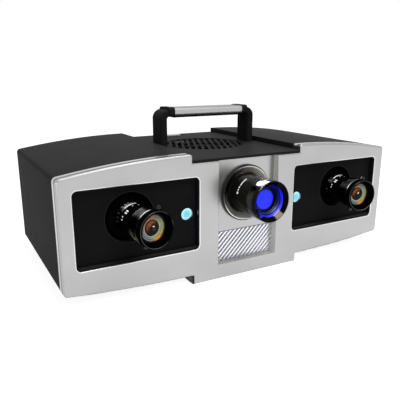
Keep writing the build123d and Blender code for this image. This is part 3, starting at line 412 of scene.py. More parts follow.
@dataclass(frozen=True)
class SilverPaint(Finish):
    """Satin silver paint on a machined plate: rounded edges, with painted light and shade on its edges and side.
    """

    # Painted tone on the rounded edges, which sets how bright their highlight reads
    edge: str = "#A8A8A8"
    edge_leans: Stops = ((0.12, "#000000"), (0.3, WHITE), (0.9, WHITE), (0.985, "#000000"))
    # Painted highlight on the rounded edge around each window
    window_edge: str = "#E6E6E6"
    window_edge_mm: float = 1.2
    window_radius_mm: float = 5.5
    flange_lap_mm: float = 5.0
    # Painted shade in a dark band around the plate's side
    seam: str = "#545454"
    seam_mm: tuple[float, float] = (3.4, 8.6)
    # Painted light: the recess walls are painted paler, and don't mirror
    recess_wall: str = "#E4E4E4"
    recess_half_mm: float = 50.0
    # Painted shade on the notch walls under the cover
    notch_wall: str = "#4A4A4A"
    notch_half_mm: float = 77.9
    notch_floor_mm: float = 148.2
    # Painted shade on the tab's low left wall
    tab_wall: str = "#1C1C1C"
    tab_height_mm: float = 13.5

    def beyond_window(self, surface: Surface) -> Node:
        """Measure how far a place on the front lies outside the nearer window.

        Args:
            surface: The plate's material.

        Returns:
            The distance from the window's rounded outline, in metres.
        """
        low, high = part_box("right_window_tray")
        corner = self.window_radius_mm * MM
        half = (high - low) / 2
        inset = self.flange_lap_mm * MM + corner
        straight = (half.x - inset, 0.0, half.z - inset)
        arm = surface.coords["Object"]
        for step, *other in (
                ("ABSOLUTE",), ("SUBTRACT", (low + high) / 2), ("ABSOLUTE",),
                ("MULTIPLY", FRONT_VIEW), ("SUBTRACT", straight),
                ("MAXIMUM", (0.0, 0.0, 0.0)), ("LENGTH",)):
            arm = surface.add(VECTOR, arm, *other, operation=step)
        return surface.add(MATH, arm, corner, operation="SUBTRACT")

    def dress(self, surface: Surface) -> None:
        """Paint the plate, with painted light and shade on its edges and walls; the recess walls don't mirror.

        Args:
            surface: The plate's material.
        """
        place, normal, facing = surface.place, surface.normal, surface.facing
        aside = surface.add(MATH, place["X"], operation="ABSOLUTE")
        depth = surface.add(MATH, place["Y"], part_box("front_plate")[0].y, operation="SUBTRACT")
        groove_shade_start, groove_shade_end = self.seam_mm
        # Painted tone on the rounded edges, which sets their highlight
        edge_light = surface.add(RAMP, facing, stops=self.edge_leans)
        # Painted highlight on the rounded edge around each window
        rim = surface.where(
            (self.beyond_window(surface), BELOW, self.window_edge_mm * MM),
            (normal["Y"], BELOW, -ROUND_LEAN))
        # Painted shade in a band around the plate's side
        seam = surface.where(
            (facing, BELOW, SIDE_LEAN), (depth, ABOVE, groove_shade_start * MM),
            (depth, BELOW, groove_shade_end * MM))
        # Painted light: paler recess walls that don't mirror
        recess = surface.where((facing, BELOW, WALL_LEAN), (aside, BELOW, self.recess_half_mm * MM))
        # Painted shade on the notch walls
        notch = surface.where(
            (aside, BELOW, self.notch_half_mm * MM), (place["Z"], ABOVE, self.notch_floor_mm * MM))
        # Painted shade on the tab's left wall
        tab = surface.where(
            (place["Z"], BELOW, self.tab_height_mm * MM), (normal["X"], BELOW, -WALL_LEAN))
        mirror = surface.add(MATH, 1.0, recess, operation="SUBTRACT")
        surface.feed({
            "Base Color": surface.coats(
                self.mottle(surface), (edge_light, self.edge), (rim, self.window_edge),
                (seam, self.seam), (recess, self.recess_wall), (notch, self.notch_wall),
                (tab, self.tab_wall)),
            "Roughness": self.gloss(surface),
            "Metallic": surface.add(MATH, mirror, self.metallic, operation="MULTIPLY")})


@dataclass(frozen=True)
class TrayBlack(Finish):
    """Black moulded tray: satin floor, a sill painted paler as painted light, and walls that mirror the light
    beside them.
    """

    wall: str = "#A0A0A8"
    wall_polish: float = -0.22
    # Painted light on the faces that look up
    sill: str = "#4C4C4E"
    # Painted highlight in a ring at the lens hole's edge
    lip: str = "#3C3C3E"
    lip_mm: float = 0.8
    hole_mm: Point = (151.0, 0.0, 93.0)
    hole_radius_mm: float = 28.4

    def dress(self, surface: Surface) -> None:
        """Paint the tray, with a painted highlight in a ring around the lens hole.

        Args:
            surface: The tray's material.
        """
        arm = surface.coords["Object"]
        for step, *other in (
                ("ABSOLUTE",), ("SUBTRACT", Vector(self.hole_mm) * MM), ("MULTIPLY", FRONT_VIEW),
                ("LENGTH",)):
            arm = surface.add(VECTOR, arm, *other, operation=step)
        up, gloss = surface.normal["Z"], self.gloss(surface)
        # Painted highlight in a ring at the lens hole's edge
        lip = surface.where((arm, BELOW, (self.hole_radius_mm + self.lip_mm) * MM))
        walls = surface.where((surface.facing, BELOW, WALL_LEAN), (up, BELOW, WALL_LEAN))
        # Painted light on the faces that look up
        sill = surface.where((up, ABOVE, WALL_LEAN))
        surface.feed({
            "Base Color": surface.coats(
                self.mottle(surface), (lip, self.lip), (walls, self.wall), (sill, self.sill)),
            "Roughness": surface.add(
                MATH, walls, self.wall_polish, gloss, operation="MULTIPLY_ADD"),
            "Metallic": walls})


@dataclass(frozen=True)
class GripMetal(Finish):
    """Brushed grip, with painted shade on its top."""

    # Painted shade on the faces that look up
    worn: str = "#7C7C7C"
    worn_leans: tuple[float, float] = (0.5, 0.9)

    def dress(self, surface: Surface) -> None:
        """Brush the metal, with painted shade where it faces up."""
        upward = surface.add(RANGE, surface.normal["Z"], *self.worn_leans)
        surface.feed({"Base Color": surface.coats(self.mottle(surface), (upward, self.worn)),
                      "Roughness": self.gloss(surface)})


@dataclass(frozen=True)
class Collar(Finish):
    """Collar from a lathe, with fine rings and a painted highlight in two opposite fans."""

    # Real turning marks are about 0.1 mm apart, too fine to show, so they are drawn coarser
    ring_mm: float = 1.1
    waver: float = 1.5
    # The fans are painted highlight and shade, turned this far from the top
    fan_turn_deg: float = 29.0
    dark: str = "#161614"
    dusk: str = "#262624"
    glare: str = "#FFFFFA"
    rim: str = "#141412"
    rim_mm: float = 33.6

    def pattern(self, surface: Surface) -> Node | NodeSocket:
        """Return the rings around the axis."""
        return surface.add("ShaderNodeTexWave", surface.local, named={
            "Scale": 0.5 / (self.ring_mm * MM) / math.pi, "Distortion": self.waver,
            "Detail": GRAIN_OCTAVES, "Detail Scale": 1.0}, wave_type="RINGS",
            rings_direction="Y").outputs["Fac"]

    def dress(self, surface: Surface) -> None:
        """Paint a highlight along one diameter and shade across it, inside a dark rim.

        Args:
            surface: The collar's material.
        """
        # Painted highlight along one diameter, painted shade across it
        highlight_fan = surface.add(MATH, surface.towards(self.fan_turn_deg), operation="ABSOLUTE")
        shades = surface.add(RAMP, highlight_fan, stops=(
            (0.0, self.dark), (0.4, self.dusk), (0.72, self.shade), (0.88, self.colour),
            (1.0, self.glare)))
        outside = surface.where((surface.share(self.rim_mm), ABOVE, 1.0))
        surface.feed({"Base Color": surface.coats(shades, (outside, self.rim)),
                      "Roughness": self.gloss(surface)})


@dataclass(frozen=True)
class Band:
    """A polished band around a ring: where it starts and ends along the axis, and its tint."""

    start_mm: float
    end_mm: float
    tint: str


@dataclass(frozen=True)
class Bore:
    """Lining of a hood's bore, with the blue glass's reflection painted on: its ends along the axis, its fine
    rings and its bright front.
    """

    start_mm: float
    end_mm: float
    front_mm: float
    # Painted reflection of the blue glass, in rings and at the front
    ring_tints: tuple[str, str]
    front_tint: str
    ring_mm: float = 1.6
    haze: float = 0.3

    def lining(self, surface: Surface) -> object:
        """Paint the glass's blue reflection on the lining: two tints in turn, and a third at the front.

        Args:
            surface: The hood's material.

        Returns:
            The colour.
        """
        ring = self.ring_mm * MM
        swing = surface.add(MATH, surface.along, ring, operation="PINGPONG")
        share = surface.add(MATH, swing, ring, operation="DIVIDE")
        rings = surface.add(RAMP, share, stops=tuple(zip(SOFT_STEP, self.ring_tints)))
        front = surface.where((surface.along, ABOVE, self.front_mm * MM))
        return surface.coats(rings, (front, self.front_tint))


@dataclass(frozen=True)
class LensBlack(Finish):
    """Black anodised ring with polished bands outside and a dark mouth."""

    bands: tuple[Band, ...] = ()
    bore: Bore | None = None
    mouth: str = "#0A0A09"

    def dress(self, surface: Surface) -> None:
        """Paint the ring, and let its bands and its bore mirror.

        Args:
            surface: The ring's material.
        """
        along, outward, gloss = surface.along, surface.outward, self.gloss(surface)
        coats = [(surface.where(
            (outward, ABOVE, ROUND_LEAN), (along, ABOVE, band.start_mm * MM),
            (along, BELOW, band.end_mm * MM)), band.tint) for band in self.bands]
        polished = [mask for mask, _ in coats]
        coats.append((surface.where((outward, BELOW, -ROUND_LEAN)), self.mouth))
        if self.bore:
            wall = surface.where(
                (outward, BELOW, -ROUND_LEAN), (along, ABOVE, self.bore.start_mm * MM),
                (along, BELOW, self.bore.end_mm * MM))
            coats.append((wall, self.bore.lining(surface)))
            polished.append(wall)
            gloss = surface.add(MATH, wall, self.bore.haze, gloss, operation="MULTIPLY_ADD")
        mirror = polished[0]
        for mask in polished[1:]:
            mirror = surface.add(MATH, mirror, mask, operation="ADD")
        surface.feed({"Base Color": surface.coats(self.mottle(surface), *coats),
                      "Roughness": gloss, "Metallic": mirror})


@dataclass(frozen=True)
class LightCap(Finish):
    """Moulded translucent cap over a light: an even glow with a paler rim."""

    radius_mm: float = 6.0
    rim: str = "#C4F4FA"
    glow: float = 0.65

    def dress(self, surface: Surface) -> None:
        """Let the cap glow a little in its own colour."""
        tint = surface.add(RAMP, surface.share(self.radius_mm), stops=(
            (0.0, self.shade), (0.55, self.colour), (0.9, self.rim)))
        surface.feed({"Base Color": tint, "Roughness": self.gloss(surface),
                      "Emission Color": tint, "Emission Strength": self.glow})


@dataclass(frozen=True)
class LightPaint(Finish):
    """White paint in engraved marks, with a painted glow that keeps them bright in the shade."""

    # Painted light: the print glows though it is no lamp
    glow: float = 0.7

    def dress(self, surface: Surface) -> None:
        """Let the paint glow a little, as painted light."""
        super().dress(surface)
        surface.feed({"Emission Color": self.colour, "Emission Strength": self.glow})


@dataclass(frozen=True)
class Glint:
    """A sector of painted reflection: its angle from the top, its fade, and its rings from a start."""

    turn_deg: float
    fade: tuple[float, float]
    start: float
    rings: Stops


@dataclass(frozen=True)
class CoatedGlass:
    """Front element of a camera lens with painted reflections: rings of its cell, amber, pale and orange glints.
    """

    name: str
    axis: Axis
    radius_mm: float = 15.3
    roughness: float = 0.06
    specular: float = 0.06
    # Painted reflections, and the look of the elements behind, by distance from the axis
    cell: Stops = (
        (0.0, "#3A3824"), (0.06, "#0E0D08"), (0.14, "#34321E"), (0.2, "#0E0D08"), (0.34, "#2E2416"),
        (0.5, "#3A362C"), (0.56, "#14120E"), (0.6, "#E8E4E0"), (0.65, "#4A5058"), (0.72, "#A8B0BA"),
        (0.78, "#383E48"), (0.86, "#9CA29E"), (0.91, "#202428"), (0.97, "#08080A"))
    amber: Glint = Glint(-35.0, (0.25, 0.9), 0.2, (
        (0.2, "#14100A"), (0.33, "#4E2A12"), (0.45, "#AC6430"), (0.53, "#6A3C20"),
        (0.57, "#2C2622"), (0.62, "#C0A088"), (0.72, "#86664E"), (0.8, "#B48C70"),
        (0.9, "#5A4C44"), (0.97, "#08080A")))
    pale: Glint = Glint(115.0, (0.1, 0.7), 0.2, (
        (0.2, "#14130C"), (0.47, "#4A4428"), (0.54, "#2A281C"), (0.58, "#F4F2E8"),
        (0.63, "#585E46"), (0.68, "#DCDCA8"), (0.73, "#626848"), (0.79, "#D4D898"),
        (0.85, "#6E7848"), (0.92, "#3A401E"), (0.97, "#08080A")))
    orange: Glint = Glint(150.0, (0.88, 0.99), 0.74, (
        (0.74, "#B4B878"), (0.82, "#E0A840"), (0.9, "#FF8A10"), (0.97, "#2A1404")))

    def make(self) -> Material:
        """Build the material.

        Returns:
            The finished material.
        """
        surface = Surface(self.name, self.axis)
        share = surface.share(self.radius_mm)
        colour = surface.add(RAMP, share, stops=self.cell)
        for glint in (self.amber, self.pale, self.orange):
            start, full = glint.fade
            sector = surface.add(RANGE, surface.towards(glint.turn_deg), start, full)
            beyond = surface.where((share, ABOVE, glint.start))
            mask = surface.add(MATH, sector, beyond, operation="MULTIPLY")
            colour = surface.coats(colour, (mask, surface.add(RAMP, share, stops=glint.rings)))
        surface.feed({"Base Color": colour, "Roughness": self.roughness,
                      "Specular IOR Level": self.specular})
        return surface.material


@dataclass(frozen=True)
class BlueGlass:
    """Blue coated glass deep in the projector's hood: a vivid disc with a painted glow, inside a dark rim."""

    name: str
    axis: Axis
    radius_mm: float = 14.0
    rings: Stops = ((0.0, "#2833FF"), (0.79, "#2833FF"), (0.83, "#20205A"), (0.95, "#101030"))
    # Painted light: the glass glows though it is no lamp
    glow: float = 0.85
    roughness: float = 0.05
    specular: float = 0.1

    def make(self) -> Material:
        """Build the material.

        Returns:
            The finished material.
        """
        surface = Surface(self.name, self.axis)
        disc = surface.add(RAMP, surface.share(self.radius_mm), stops=self.rings)
        surface.feed({"Base Color": disc, "Emission Color": disc, "Emission Strength": self.glow,
                      "Roughness": self.roughness, "Specular IOR Level": self.specular})
        return surface.material


SOCKET_KINDS = {int: "NodeSocketInt", float: "NodeSocketFloat", Material: "NodeSocketMaterial"}


def start_tree(name: str, values: dict[str, object]) -> GeometryNodeTree:
    """Start a tree of Geometry Nodes.

    Args:
        name: The tree's name.
        values: Value of each named input that it gets.

    Returns:
        The tree.
    """
    tree = bpy.data.node_groups.new(name, "GeometryNodeTree")
    tree.interface.new_socket("Geometry", in_out="OUTPUT", socket_type="NodeSocketGeometry")
    for word, value in values.items():
        tree.interface.new_socket(word, in_out="INPUT", socket_type=SOCKET_KINDS[type(value)])
    return tree


def repeat(tree: GeometryNodeTree, points: Node, shape: Node, turn: Node,
           values: dict[str, object]) -> Mesh:
    """Put a shape on every point, paint the copies and run the tree.

    Args:
        tree: The tree.
        points: Node that gives the points.
        shape: Node that gives the shape.
        turn: Node that gives each copy's turn.
        values: Value of each named input.

    Returns:
        The copies as a plain mesh.
    """
    copies = add_node(tree, "GeometryNodeInstanceOnPoints", named={
        "Points": points, "Instance": shape, "Rotation": turn})
    real = add_node(tree, "GeometryNodeRealizeInstances", copies)
    paint = add_node(tree, "NodeGroupInput").outputs["Material"]
    painted = add_node(tree, "GeometryNodeSetMaterial", real, named={"Material": paint})
    add_node(tree, "NodeGroupOutput", named={"Geometry": painted})
    holder = bpy.data.objects.new(tree.name, bpy.data.meshes.new(tree.name))
    bpy.context.scene.collection.objects.link(holder)
    modifier = holder.modifiers.new(tree.name, "NODES")
    modifier.node_group = tree
    for socket in tree.interface.items_tree:
        if socket.in_out == "INPUT":
            modifier[socket.identifier] = values[socket.name]
    bpy.context.view_layer.update()
    solid = holder.evaluated_get(bpy.context.evaluated_depsgraph_get())
    mesh = bpy.data.meshes.new_from_object(solid)
    bpy.data.objects.remove(holder)
    return mesh


def join(name: str, meshes: list[Mesh], body: str) -> Object:
    """Make one piece of several meshes and let it ride on a body.

    Args:
        name: The piece's name.
        meshes: Meshes that share one material.
        body: Body that carries the piece.

    Returns:
        The piece.
    """
    shape = bmesh.new()
    for mesh in meshes:
        shape.from_mesh(mesh)
    for face in shape.faces:
        face.material_index = 0
    whole = bpy.data.meshes.new(name)
    shape.to_mesh(whole)
    shape.free()
    whole.materials.append(next(material for material in meshes[0].materials if material))
    piece = bpy.data.objects.new(name, whole)
    bpy.context.scene.collection.objects.link(piece)
    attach(piece, body)
    LOG.info("%s rides on %s", name, body)
    return piece


@dataclass(frozen=True)
class ScrewGrid:
    """Button-head screws at the crossings of a grid, each turned its own way."""

    columns: int
    rows: int
    width_mm: float
    height_mm: float
    head_mm: float = 3.0
    head_sides: int = 32
    proud_mm: float = 1.3
    socket_mm: float = 1.4
    socket_sides: int = 6
    sunk_mm: float = 0.5
    seed: int = 4

    def mesh(self, material: Material) -> Mesh:
        """Repeat a head with a hexagon socket on a grid of points.

        Args:
            material: The screws' material.

        Returns:
            The screws as a plain mesh, around the XY plane.
        """
        values = {
            "Columns": self.columns, "Rows": self.rows, "Seed": self.seed,
            "Width": self.width_mm * MM, "Height": self.height_mm * MM, "Head": self.head_mm * MM,
            "Crown": (self.head_mm - self.proud_mm / 2) * MM, "Proud": self.proud_mm * MM,
            "Socket": self.socket_mm * MM, "Material": material}
        tree = start_tree("screw_grid", values)
        add = partial(add_node, tree)
        sizes = add("NodeGroupInput").outputs
        grid = add("GeometryNodeMeshGrid", named={
            "Size X": sizes["Width"], "Size Y": sizes["Height"],
            "Vertices X": sizes["Columns"], "Vertices Y": sizes["Rows"]})
        head = add("GeometryNodeMeshCone", named={
            "Vertices": self.head_sides, "Radius Top": sizes["Crown"],
            "Radius Bottom": sizes["Head"], "Depth": sizes["Proud"]})
        hexagon = add("GeometryNodeMeshCylinder", named={
            "Vertices": self.socket_sides, "Radius": sizes["Socket"], "Depth": sizes["Proud"]})
        lift = add(COMBINE, named={"Z": sizes["Proud"]})
        raised = add("GeometryNodeTransform", hexagon, named={"Translation": lift})
        cut = add("GeometryNodeMeshBoolean", head, raised, operation="DIFFERENCE")
        turn = add("FunctionNodeRandomValue", data_type="FLOAT_VECTOR", named={
            "Max": (0.0, 0.0, math.tau), "Seed": sizes["Seed"]})
        return repeat(tree, grid, cut, turn, values)


@dataclass(frozen=True)
class Marks:
    """A row of printed marks around a ring: angles run from the top, positive to the right."""

    shape: MarkShape
    count: int
    start_deg: float
    step_deg: float
    width_mm: float
    along_mm: float
    length_mm: float = 0.0
    dot_sides: int = 16

    def mesh(self, radius_mm: float, height_mm: float, ink: Material) -> Mesh:
        """Repeat the mark on points along an arc.

        Args:
            radius_mm: Radius of the ring that carries the marks.
            height_mm: How thick the print is, half of it sunk.
            ink: The print's material.

        Returns:
            The row of marks as a plain mesh.
        """
        values = {
            "Count": self.count, "Radius": radius_mm * MM, "Start": math.radians(self.start_deg),
            "Step": math.radians(self.step_deg), "Along": self.along_mm * MM,
            "Width": self.width_mm * MM, "Height": height_mm * MM, "Length": self.length_mm * MM,
            "Material": ink}
        tree = start_tree("mark_row", values)
        add = partial(add_node, tree)
        sizes = add("NodeGroupInput").outputs
        number = add("GeometryNodeInputIndex")
        turn = add(MATH, number, sizes["Step"], sizes["Start"], operation="MULTIPLY_ADD")
        shares = [add(MATH, turn, operation=part) for part in ("SINE", "COSINE")]
        arms = [add(MATH, share, sizes["Radius"], operation="MULTIPLY") for share in shares]
        place = add(COMBINE, *arms, sizes["Along"])
        points = add("GeometryNodePoints", sizes["Count"], place)
        if self.shape is BAR:
            size = add(COMBINE, sizes["Width"], sizes["Height"], sizes["Length"])
            mark = add("GeometryNodeMeshCube", size)
        else:
            radius = add(MATH, sizes["Width"], 0.5, operation="MULTIPLY")
            disc = add("GeometryNodeMeshCylinder", named={
                "Vertices": self.dot_sides, "Radius": radius, "Depth": sizes["Height"]})
            mark = add("GeometryNodeTransform", disc, named={"Rotation": (math.pi / 2, 0.0, 0.0)})
        back = add(MATH, turn, -1.0, operation="MULTIPLY")
        spin = add(COMBINE, named={"Z": back})
        return repeat(tree, points, mark, spin, values)


@dataclass(frozen=True)
class PrintedRing:
    """Rows of marks around one ring."""

    radius_mm: float
    rows: tuple[Marks, ...]
    height_mm: float = 0.1

    def apply(self, name: str, axis: Axis, body: str, ink: Material) -> None:
        """Print the rows.

        Args:
            name: Name of the piece that they make.
            axis: The ring's axis.
            body: Body that carries the ring.
            ink: The print's material.
        """
        meshes = [row.mesh(self.radius_mm, self.height_mm, ink) for row in self.rows]
        for mesh in meshes:
            mesh.transform(axis.frame)
        join(name, meshes, body)


@dataclass(frozen=True)
class Lamp:
    """A soft sheet of light, on everything or on some nodes, which may show as gloss only."""

    name: str
    place_m: Point
    size_m: tuple[float, float]
    watts: float
    aim_m: Point = (0.0, -0.15, 0.1)
    colour: str = WHITE
    roll_deg: float = 0.0
    only_on: tuple[str, ...] = ()
    mirrored: bool = False

    def hang(self) -> None:
        """Hang the lamp, and link it to its nodes where it has any."""
        light = bpy.data.lights.new(self.name, "AREA")
        light.shape = "RECTANGLE"
        light.size, light.size_y = self.size_m
        light.energy = self.watts
        light.color = linear(self.colour)[:3]
        lamp = bpy.data.objects.new(self.name, light)
        lamp.location = self.place_m
        way = (Vector(self.aim_m) - Vector(self.place_m)).to_track_quat("-Z", "Y")
        roll = Quaternion((0.0, 0.0, 1.0), math.radians(self.roll_deg))
        lamp.rotation_euler = (way @ roll).to_euler()
        bpy.context.scene.collection.objects.link(lamp)
        lamp.visible_diffuse = not self.mirrored
        if self.only_on:
            group = bpy.data.collections.new(f"{self.name}_lit")
            for node in self.only_on:
                group.objects.link(frame["nodes"][node])
            lamp.light_linking.receiver_collection = group
            lamp.light_linking.blocker_collection = group


LENS_RINGS = ("right_upper_lock_screw", *(
    f"{side.word}_{piece}" for side in Side
    for piece in ("iris_ring", "focus_ring", "lower_lock_screw")))
PROJECTOR_RINGS = ("projector_barrel", "projector_focus_ring")
FRONT_GLASSES = tuple(f"{side.word}_front_glass" for side in Side)

LAMPS = (
    # Broad, plain light from the front and from above
    Lamp("key", (0.2, -1.2, 1.5), (0.9, 1.0), 6.0, aim_m=(0.0, -0.1, 0.08)),
    Lamp("top", (0.25, 0.2, 1.5), (0.8, 1.0), 8.0, aim_m=(0.0, 0.0, 0.1)),
    # Low light on the right wall of the recess
    Lamp("recess_fill", (-1.3, -1.0, 0.25), (0.6, 0.5), 4.0, aim_m=(0.04, -0.15, 0.08),
         only_on=("front_plate",)),
    # Highlights along the black rings
    Lamp("lens_strip", (-0.5, 2.4, 1.6), (2.2, 0.6), 300.0, only_on=LENS_RINGS, mirrored=True),
    Lamp("lens_sheen", (-0.2, 2.05, -1.1), (1.5, 0.6), 120.0, colour="#CCC6AC",
         only_on=("left_focus_ring",), mirrored=True),
    Lamp("ring_strip", (0.84, 1.86, 1.35), (2.2, 0.9), 500.0, roll_deg=41.0,
         only_on=PROJECTOR_RINGS, mirrored=True),
    # A spark in the front glasses, and enough light to show their coating
    Lamp("glass_spot", (0.52, -1.25, 0.2), (0.3, 0.3), 60.0, only_on=FRONT_GLASSES, mirrored=True),
    Lamp("glass_fill", (-0.2, -1.3, 0.5), (0.4, 0.4), 6.0, only_on=FRONT_GLASSES),
    # A warm glance inside the projector's mouth
    Lamp("mouth_spot", (-0.33, -0.92, 1.35), (1.2, 0.8), 560.0, colour="#FFF0D8",
         only_on=PROJECTOR_RINGS, mirrored=True),
)


@dataclass(frozen=True)
class Studio:
    """White surroundings, floor, lamps, and the camera where the photograph was taken from."""

    fill: float = 0.2
    floor_half_m: float = 6.0
    floor_paper: str = "#DCDCDC"
    floor_glow: float = 0.9
    camera_mm: Point = (-325.9, -575.4, 244.6)
    azimuth_deg: float = 29.13
    drop_deg: float = 14.91
    focal_pixels: float = 476.1

    def seen(self, tree: NodeTree) -> Node:
        """Tell rays that show a surface from rays that only light others by it.

        Args:
            tree: Node tree of the surface.

        Returns:
            1 for rays from the camera, a reflection or a refraction, and 0 for diffuse light.
        """
        path = add_node(tree, "ShaderNodeLightPath").outputs
        shiny = add_node(tree, MATH, path["Is Glossy Ray"], path["Is Transmission Ray"],
                         operation="MAXIMUM")
        return add_node(tree, MATH, path["Is Camera Ray"], shiny, operation="MAXIMUM")

    def sky(self) -> None:
        """Make a white surrounding that sheds less light than it shows."""
        world = bpy.data.worlds.new("studio_white")
        world.use_nodes = True
        bpy.context.scene.world = world
        tree = world.node_tree
        tree.nodes.clear()
        shed = add_node(tree, "ShaderNodeBackground", WHITE, self.fill)
        shown = add_node(tree, "ShaderNodeBackground", WHITE, 1.0)
        both = add_node(tree, "ShaderNodeMixShader", self.seen(tree), shed, shown)
        add_node(tree, "ShaderNodeOutputWorld", named={"Surface": both})

    def floor(self) -> None:
        """Lay a plain white floor that keeps a soft shadow."""
        mesh = bpy.data.meshes.new("floor")
        shape = bmesh.new()
        bmesh.ops.create_grid(shape, x_segments=1, y_segments=1, size=self.floor_half_m)
        shape.to_mesh(mesh)
        shape.free()
        floor = bpy.data.objects.new("floor", mesh)
        bpy.context.scene.collection.objects.link(floor)
        material = bpy.data.materials.new("floor_white")
        material.use_nodes = True
        tree = material.node_tree
        tree.nodes.clear()
        paper = add_node(tree, "ShaderNodeBsdfDiffuse", self.floor_paper)
        bright = add_node(tree, "ShaderNodeEmission", WHITE, self.floor_glow)
        shown = add_node(tree, "ShaderNodeAddShader", paper, bright)
        both = add_node(tree, "ShaderNodeMixShader", self.seen(tree), paper, shown)
        add_node(tree, "ShaderNodeOutputMaterial", named={"Surface": both})
        mesh.materials.append(material)

    def camera(self) -> None:
        """Stand the camera."""
        data = bpy.data.cameras.new("photo_camera")
        data.sensor_width = SENSOR_MM
        data.lens = self.focal_pixels / PHOTO_PIXELS * SENSOR_MM
        data.clip_start = NEAR_CLIP_M
        camera = bpy.data.objects.new("photo_camera", data)
        camera.location = Vector(self.camera_mm) * MM
        camera.rotation_euler = (
            math.radians(90 - self.drop_deg), 0.0, math.radians(-self.azimuth_deg))
        bpy.context.scene.collection.objects.link(camera)
        bpy.context.scene.camera = camera

    def build(self) -> None:
        """Set up the surroundings, the lamps and the camera."""
        bpy.context.scene.view_settings.view_transform = "Standard"
        self.sky()
        self.floor()
        for lamp in LAMPS:
            lamp.hang()
        self.camera()


PROJECTOR = Axis.of_joint("projector_focus_turn")

FINISHES: dict[str, Finish] = {
    # Sprayed on a machined plate: pale and even, with a soft metal sheen and painted light and shade
    "silver_paint": SilverPaint(
        "silver_satin_paint", "#B7B7B7", "#B4B4B4", 0.3, metallic=0.9, grain_mm=1.5,
        grain_depth_mm=0.004, gloss_spread=0.03),
    # Moulded with a spark-eroded grain: charcoal, with hardly any highlight
    "black_casing": Finish(
        "black_moulded_casing", "#3A3A3B", "#373738", 0.5, specular=0.004, grain_mm=1.4,
        grain_depth_mm=0.03),
    # Moulded in a smoother mould: deeper black, with walls that mirror, and painted light on its sill and hole
    # edge
    "tray_black": TrayBlack(
        "black_satin_tray", "#29292B", "#262628", 0.3, specular=0.01, grain_mm=1.6,
        grain_depth_mm=0.01),
    # Stamped and plated: slats that flash white against the dark between them
    "grille_metal": Finish("bright_satin_grille", "#F6F6FA", "#EEEEF2", 0.28, metallic=0.9),
    # Turned aluminium: two painted highlights in fans on a dark face
    "collar_metal": Collar(
        "turned_aluminium_collar", "#E8E8E4", "#8E8E8A", 0.3, metallic=0.6, gloss_spread=0.03,
        axis=PROJECTOR),
    # Anodised and brushed along its length: pale streaks, with painted shade on top
    "grip_metal": GripMetal(
        "brushed_anodised_grip", "#CACACA", "#C2C2C2", 0.35, metallic=0.7, specular=0.1,
        grain_mm=0.8, run=Run.ALONG_X),
    # Moulded rubber: flat black without a highlight
    "grip_rubber": Finish("black_rubber_pad", "#0E0E0E", "#0B0B0B", 0.8, specular=0.02),
    # Moulded like the casing, with a finer grain: a little darker
    "elbow_black": Finish(
        "black_moulded_elbow", "#363637", "#323233", 0.5, specular=0.004, grain_depth_mm=0.02),
    # Blackened in an oil bath: dark metal with a narrow highlight
    SCREW_SLOT: Finish("blackened_steel", "#2A2A2B", "#222223", 0.25, metallic=0.6),
    # Bare turned steel: grey with a soft mirror
    "screw_steel": Finish("plain_steel", "#A8A8A6", "#9A9A98", 0.35, metallic=1.0),
    # Milled, with the cutter's marks along X: streaky pale metal
    "bare_aluminium": Finish(
        "milled_aluminium", "#C0C0C2", "#B4B4B6", 0.4, metallic=1.0, run=Run.ALONG_X),
    # Cast and powder-coated: dull black
    "engine_black": Finish("black_coated_casting", "#101011", "#0C0C0D", 0.6, specular=0.02),
    # Lacquer on a circuit board: deep green with a clear gloss
    "board_green": Finish("green_solder_mask", "#1E5A38", "#184C2E", 0.35),
    # Open-celled foam: pale, rough and without gloss
    "filter_foam": Finish(
        "pale_filter_foam", "#B4B4BC", "#A6A6AE", 0.95, specular=0.02, grain_mm=1.6,
        grain_depth_mm=0.4),
    # Moulded blades: near black, satin
    "fan_black": Finish("black_moulded_fan", "#141414", "#101010", 0.5, specular=0.05),
    # Folded from plated sheet: bright, slightly blurred mirror
    "socket_shell": Finish("plated_steel_shell", "#B0B0AE", "#A4A4A2", 0.3, metallic=1.0),
    # Moulded insert: near black with a faint gloss
    "socket_black": Finish("black_moulded_socket", "#141414", "#101010", 0.45, specular=0.1),
    # Moulded key: clean white with a soft gloss
    "key_white": Finish("white_moulded_key", "#F2F2F2", "#ECECEC", 0.35),
    # Paint wiped into engraving: crisp white marks, with a painted glow
    PRINT_KEY: LightPaint("white_engraving_paint", "#FFFFFA", "#F2F2EC", 0.5, grain_mm=0.4),
}


@dataclass
class Casing:
    """All pieces that keep their solid's shape, each with the finish of its slot."""

    done: dict[str, Material] = field(default_factory=dict)

    def material(self, key: str) -> Material:
        """Return the material of a finish, made once."""
        if key not in self.done:
            self.done[key] = FINISHES[key].make()
        return self.done[key]

    def paint(self, node: str, material: Material) -> None:
        """Give a node one material all over.

        Args:
            node: The node's name.
            material: The material.
        """
        mesh = frame["nodes"][node].data
        mesh.materials.clear()
        mesh.materials.append(material)
        LOG.info("%s: %s", node, material.name)

    def dress(self) -> None:
        """Paint every node whose slot has a finish of its own, and the lights."""
        for part in frame["record"]["subparts"]:
            if part["material_slot"] in FINISHES:
                self.paint(part["node"], self.material(part["material_slot"]))
        for side in Side:
            node = f"{side.word}_indicator"
            # Moulded in clear cyan: glows evenly, with a paler rim
            cap = LightCap(f"{side.word}_cyan_light_cap", "#84DCEC", "#7CD4E6", 0.2, specular=0.05,
                           grain_depth_mm=0.002, axis=Axis.of_node(node))
            self.paint(node, cap.make())


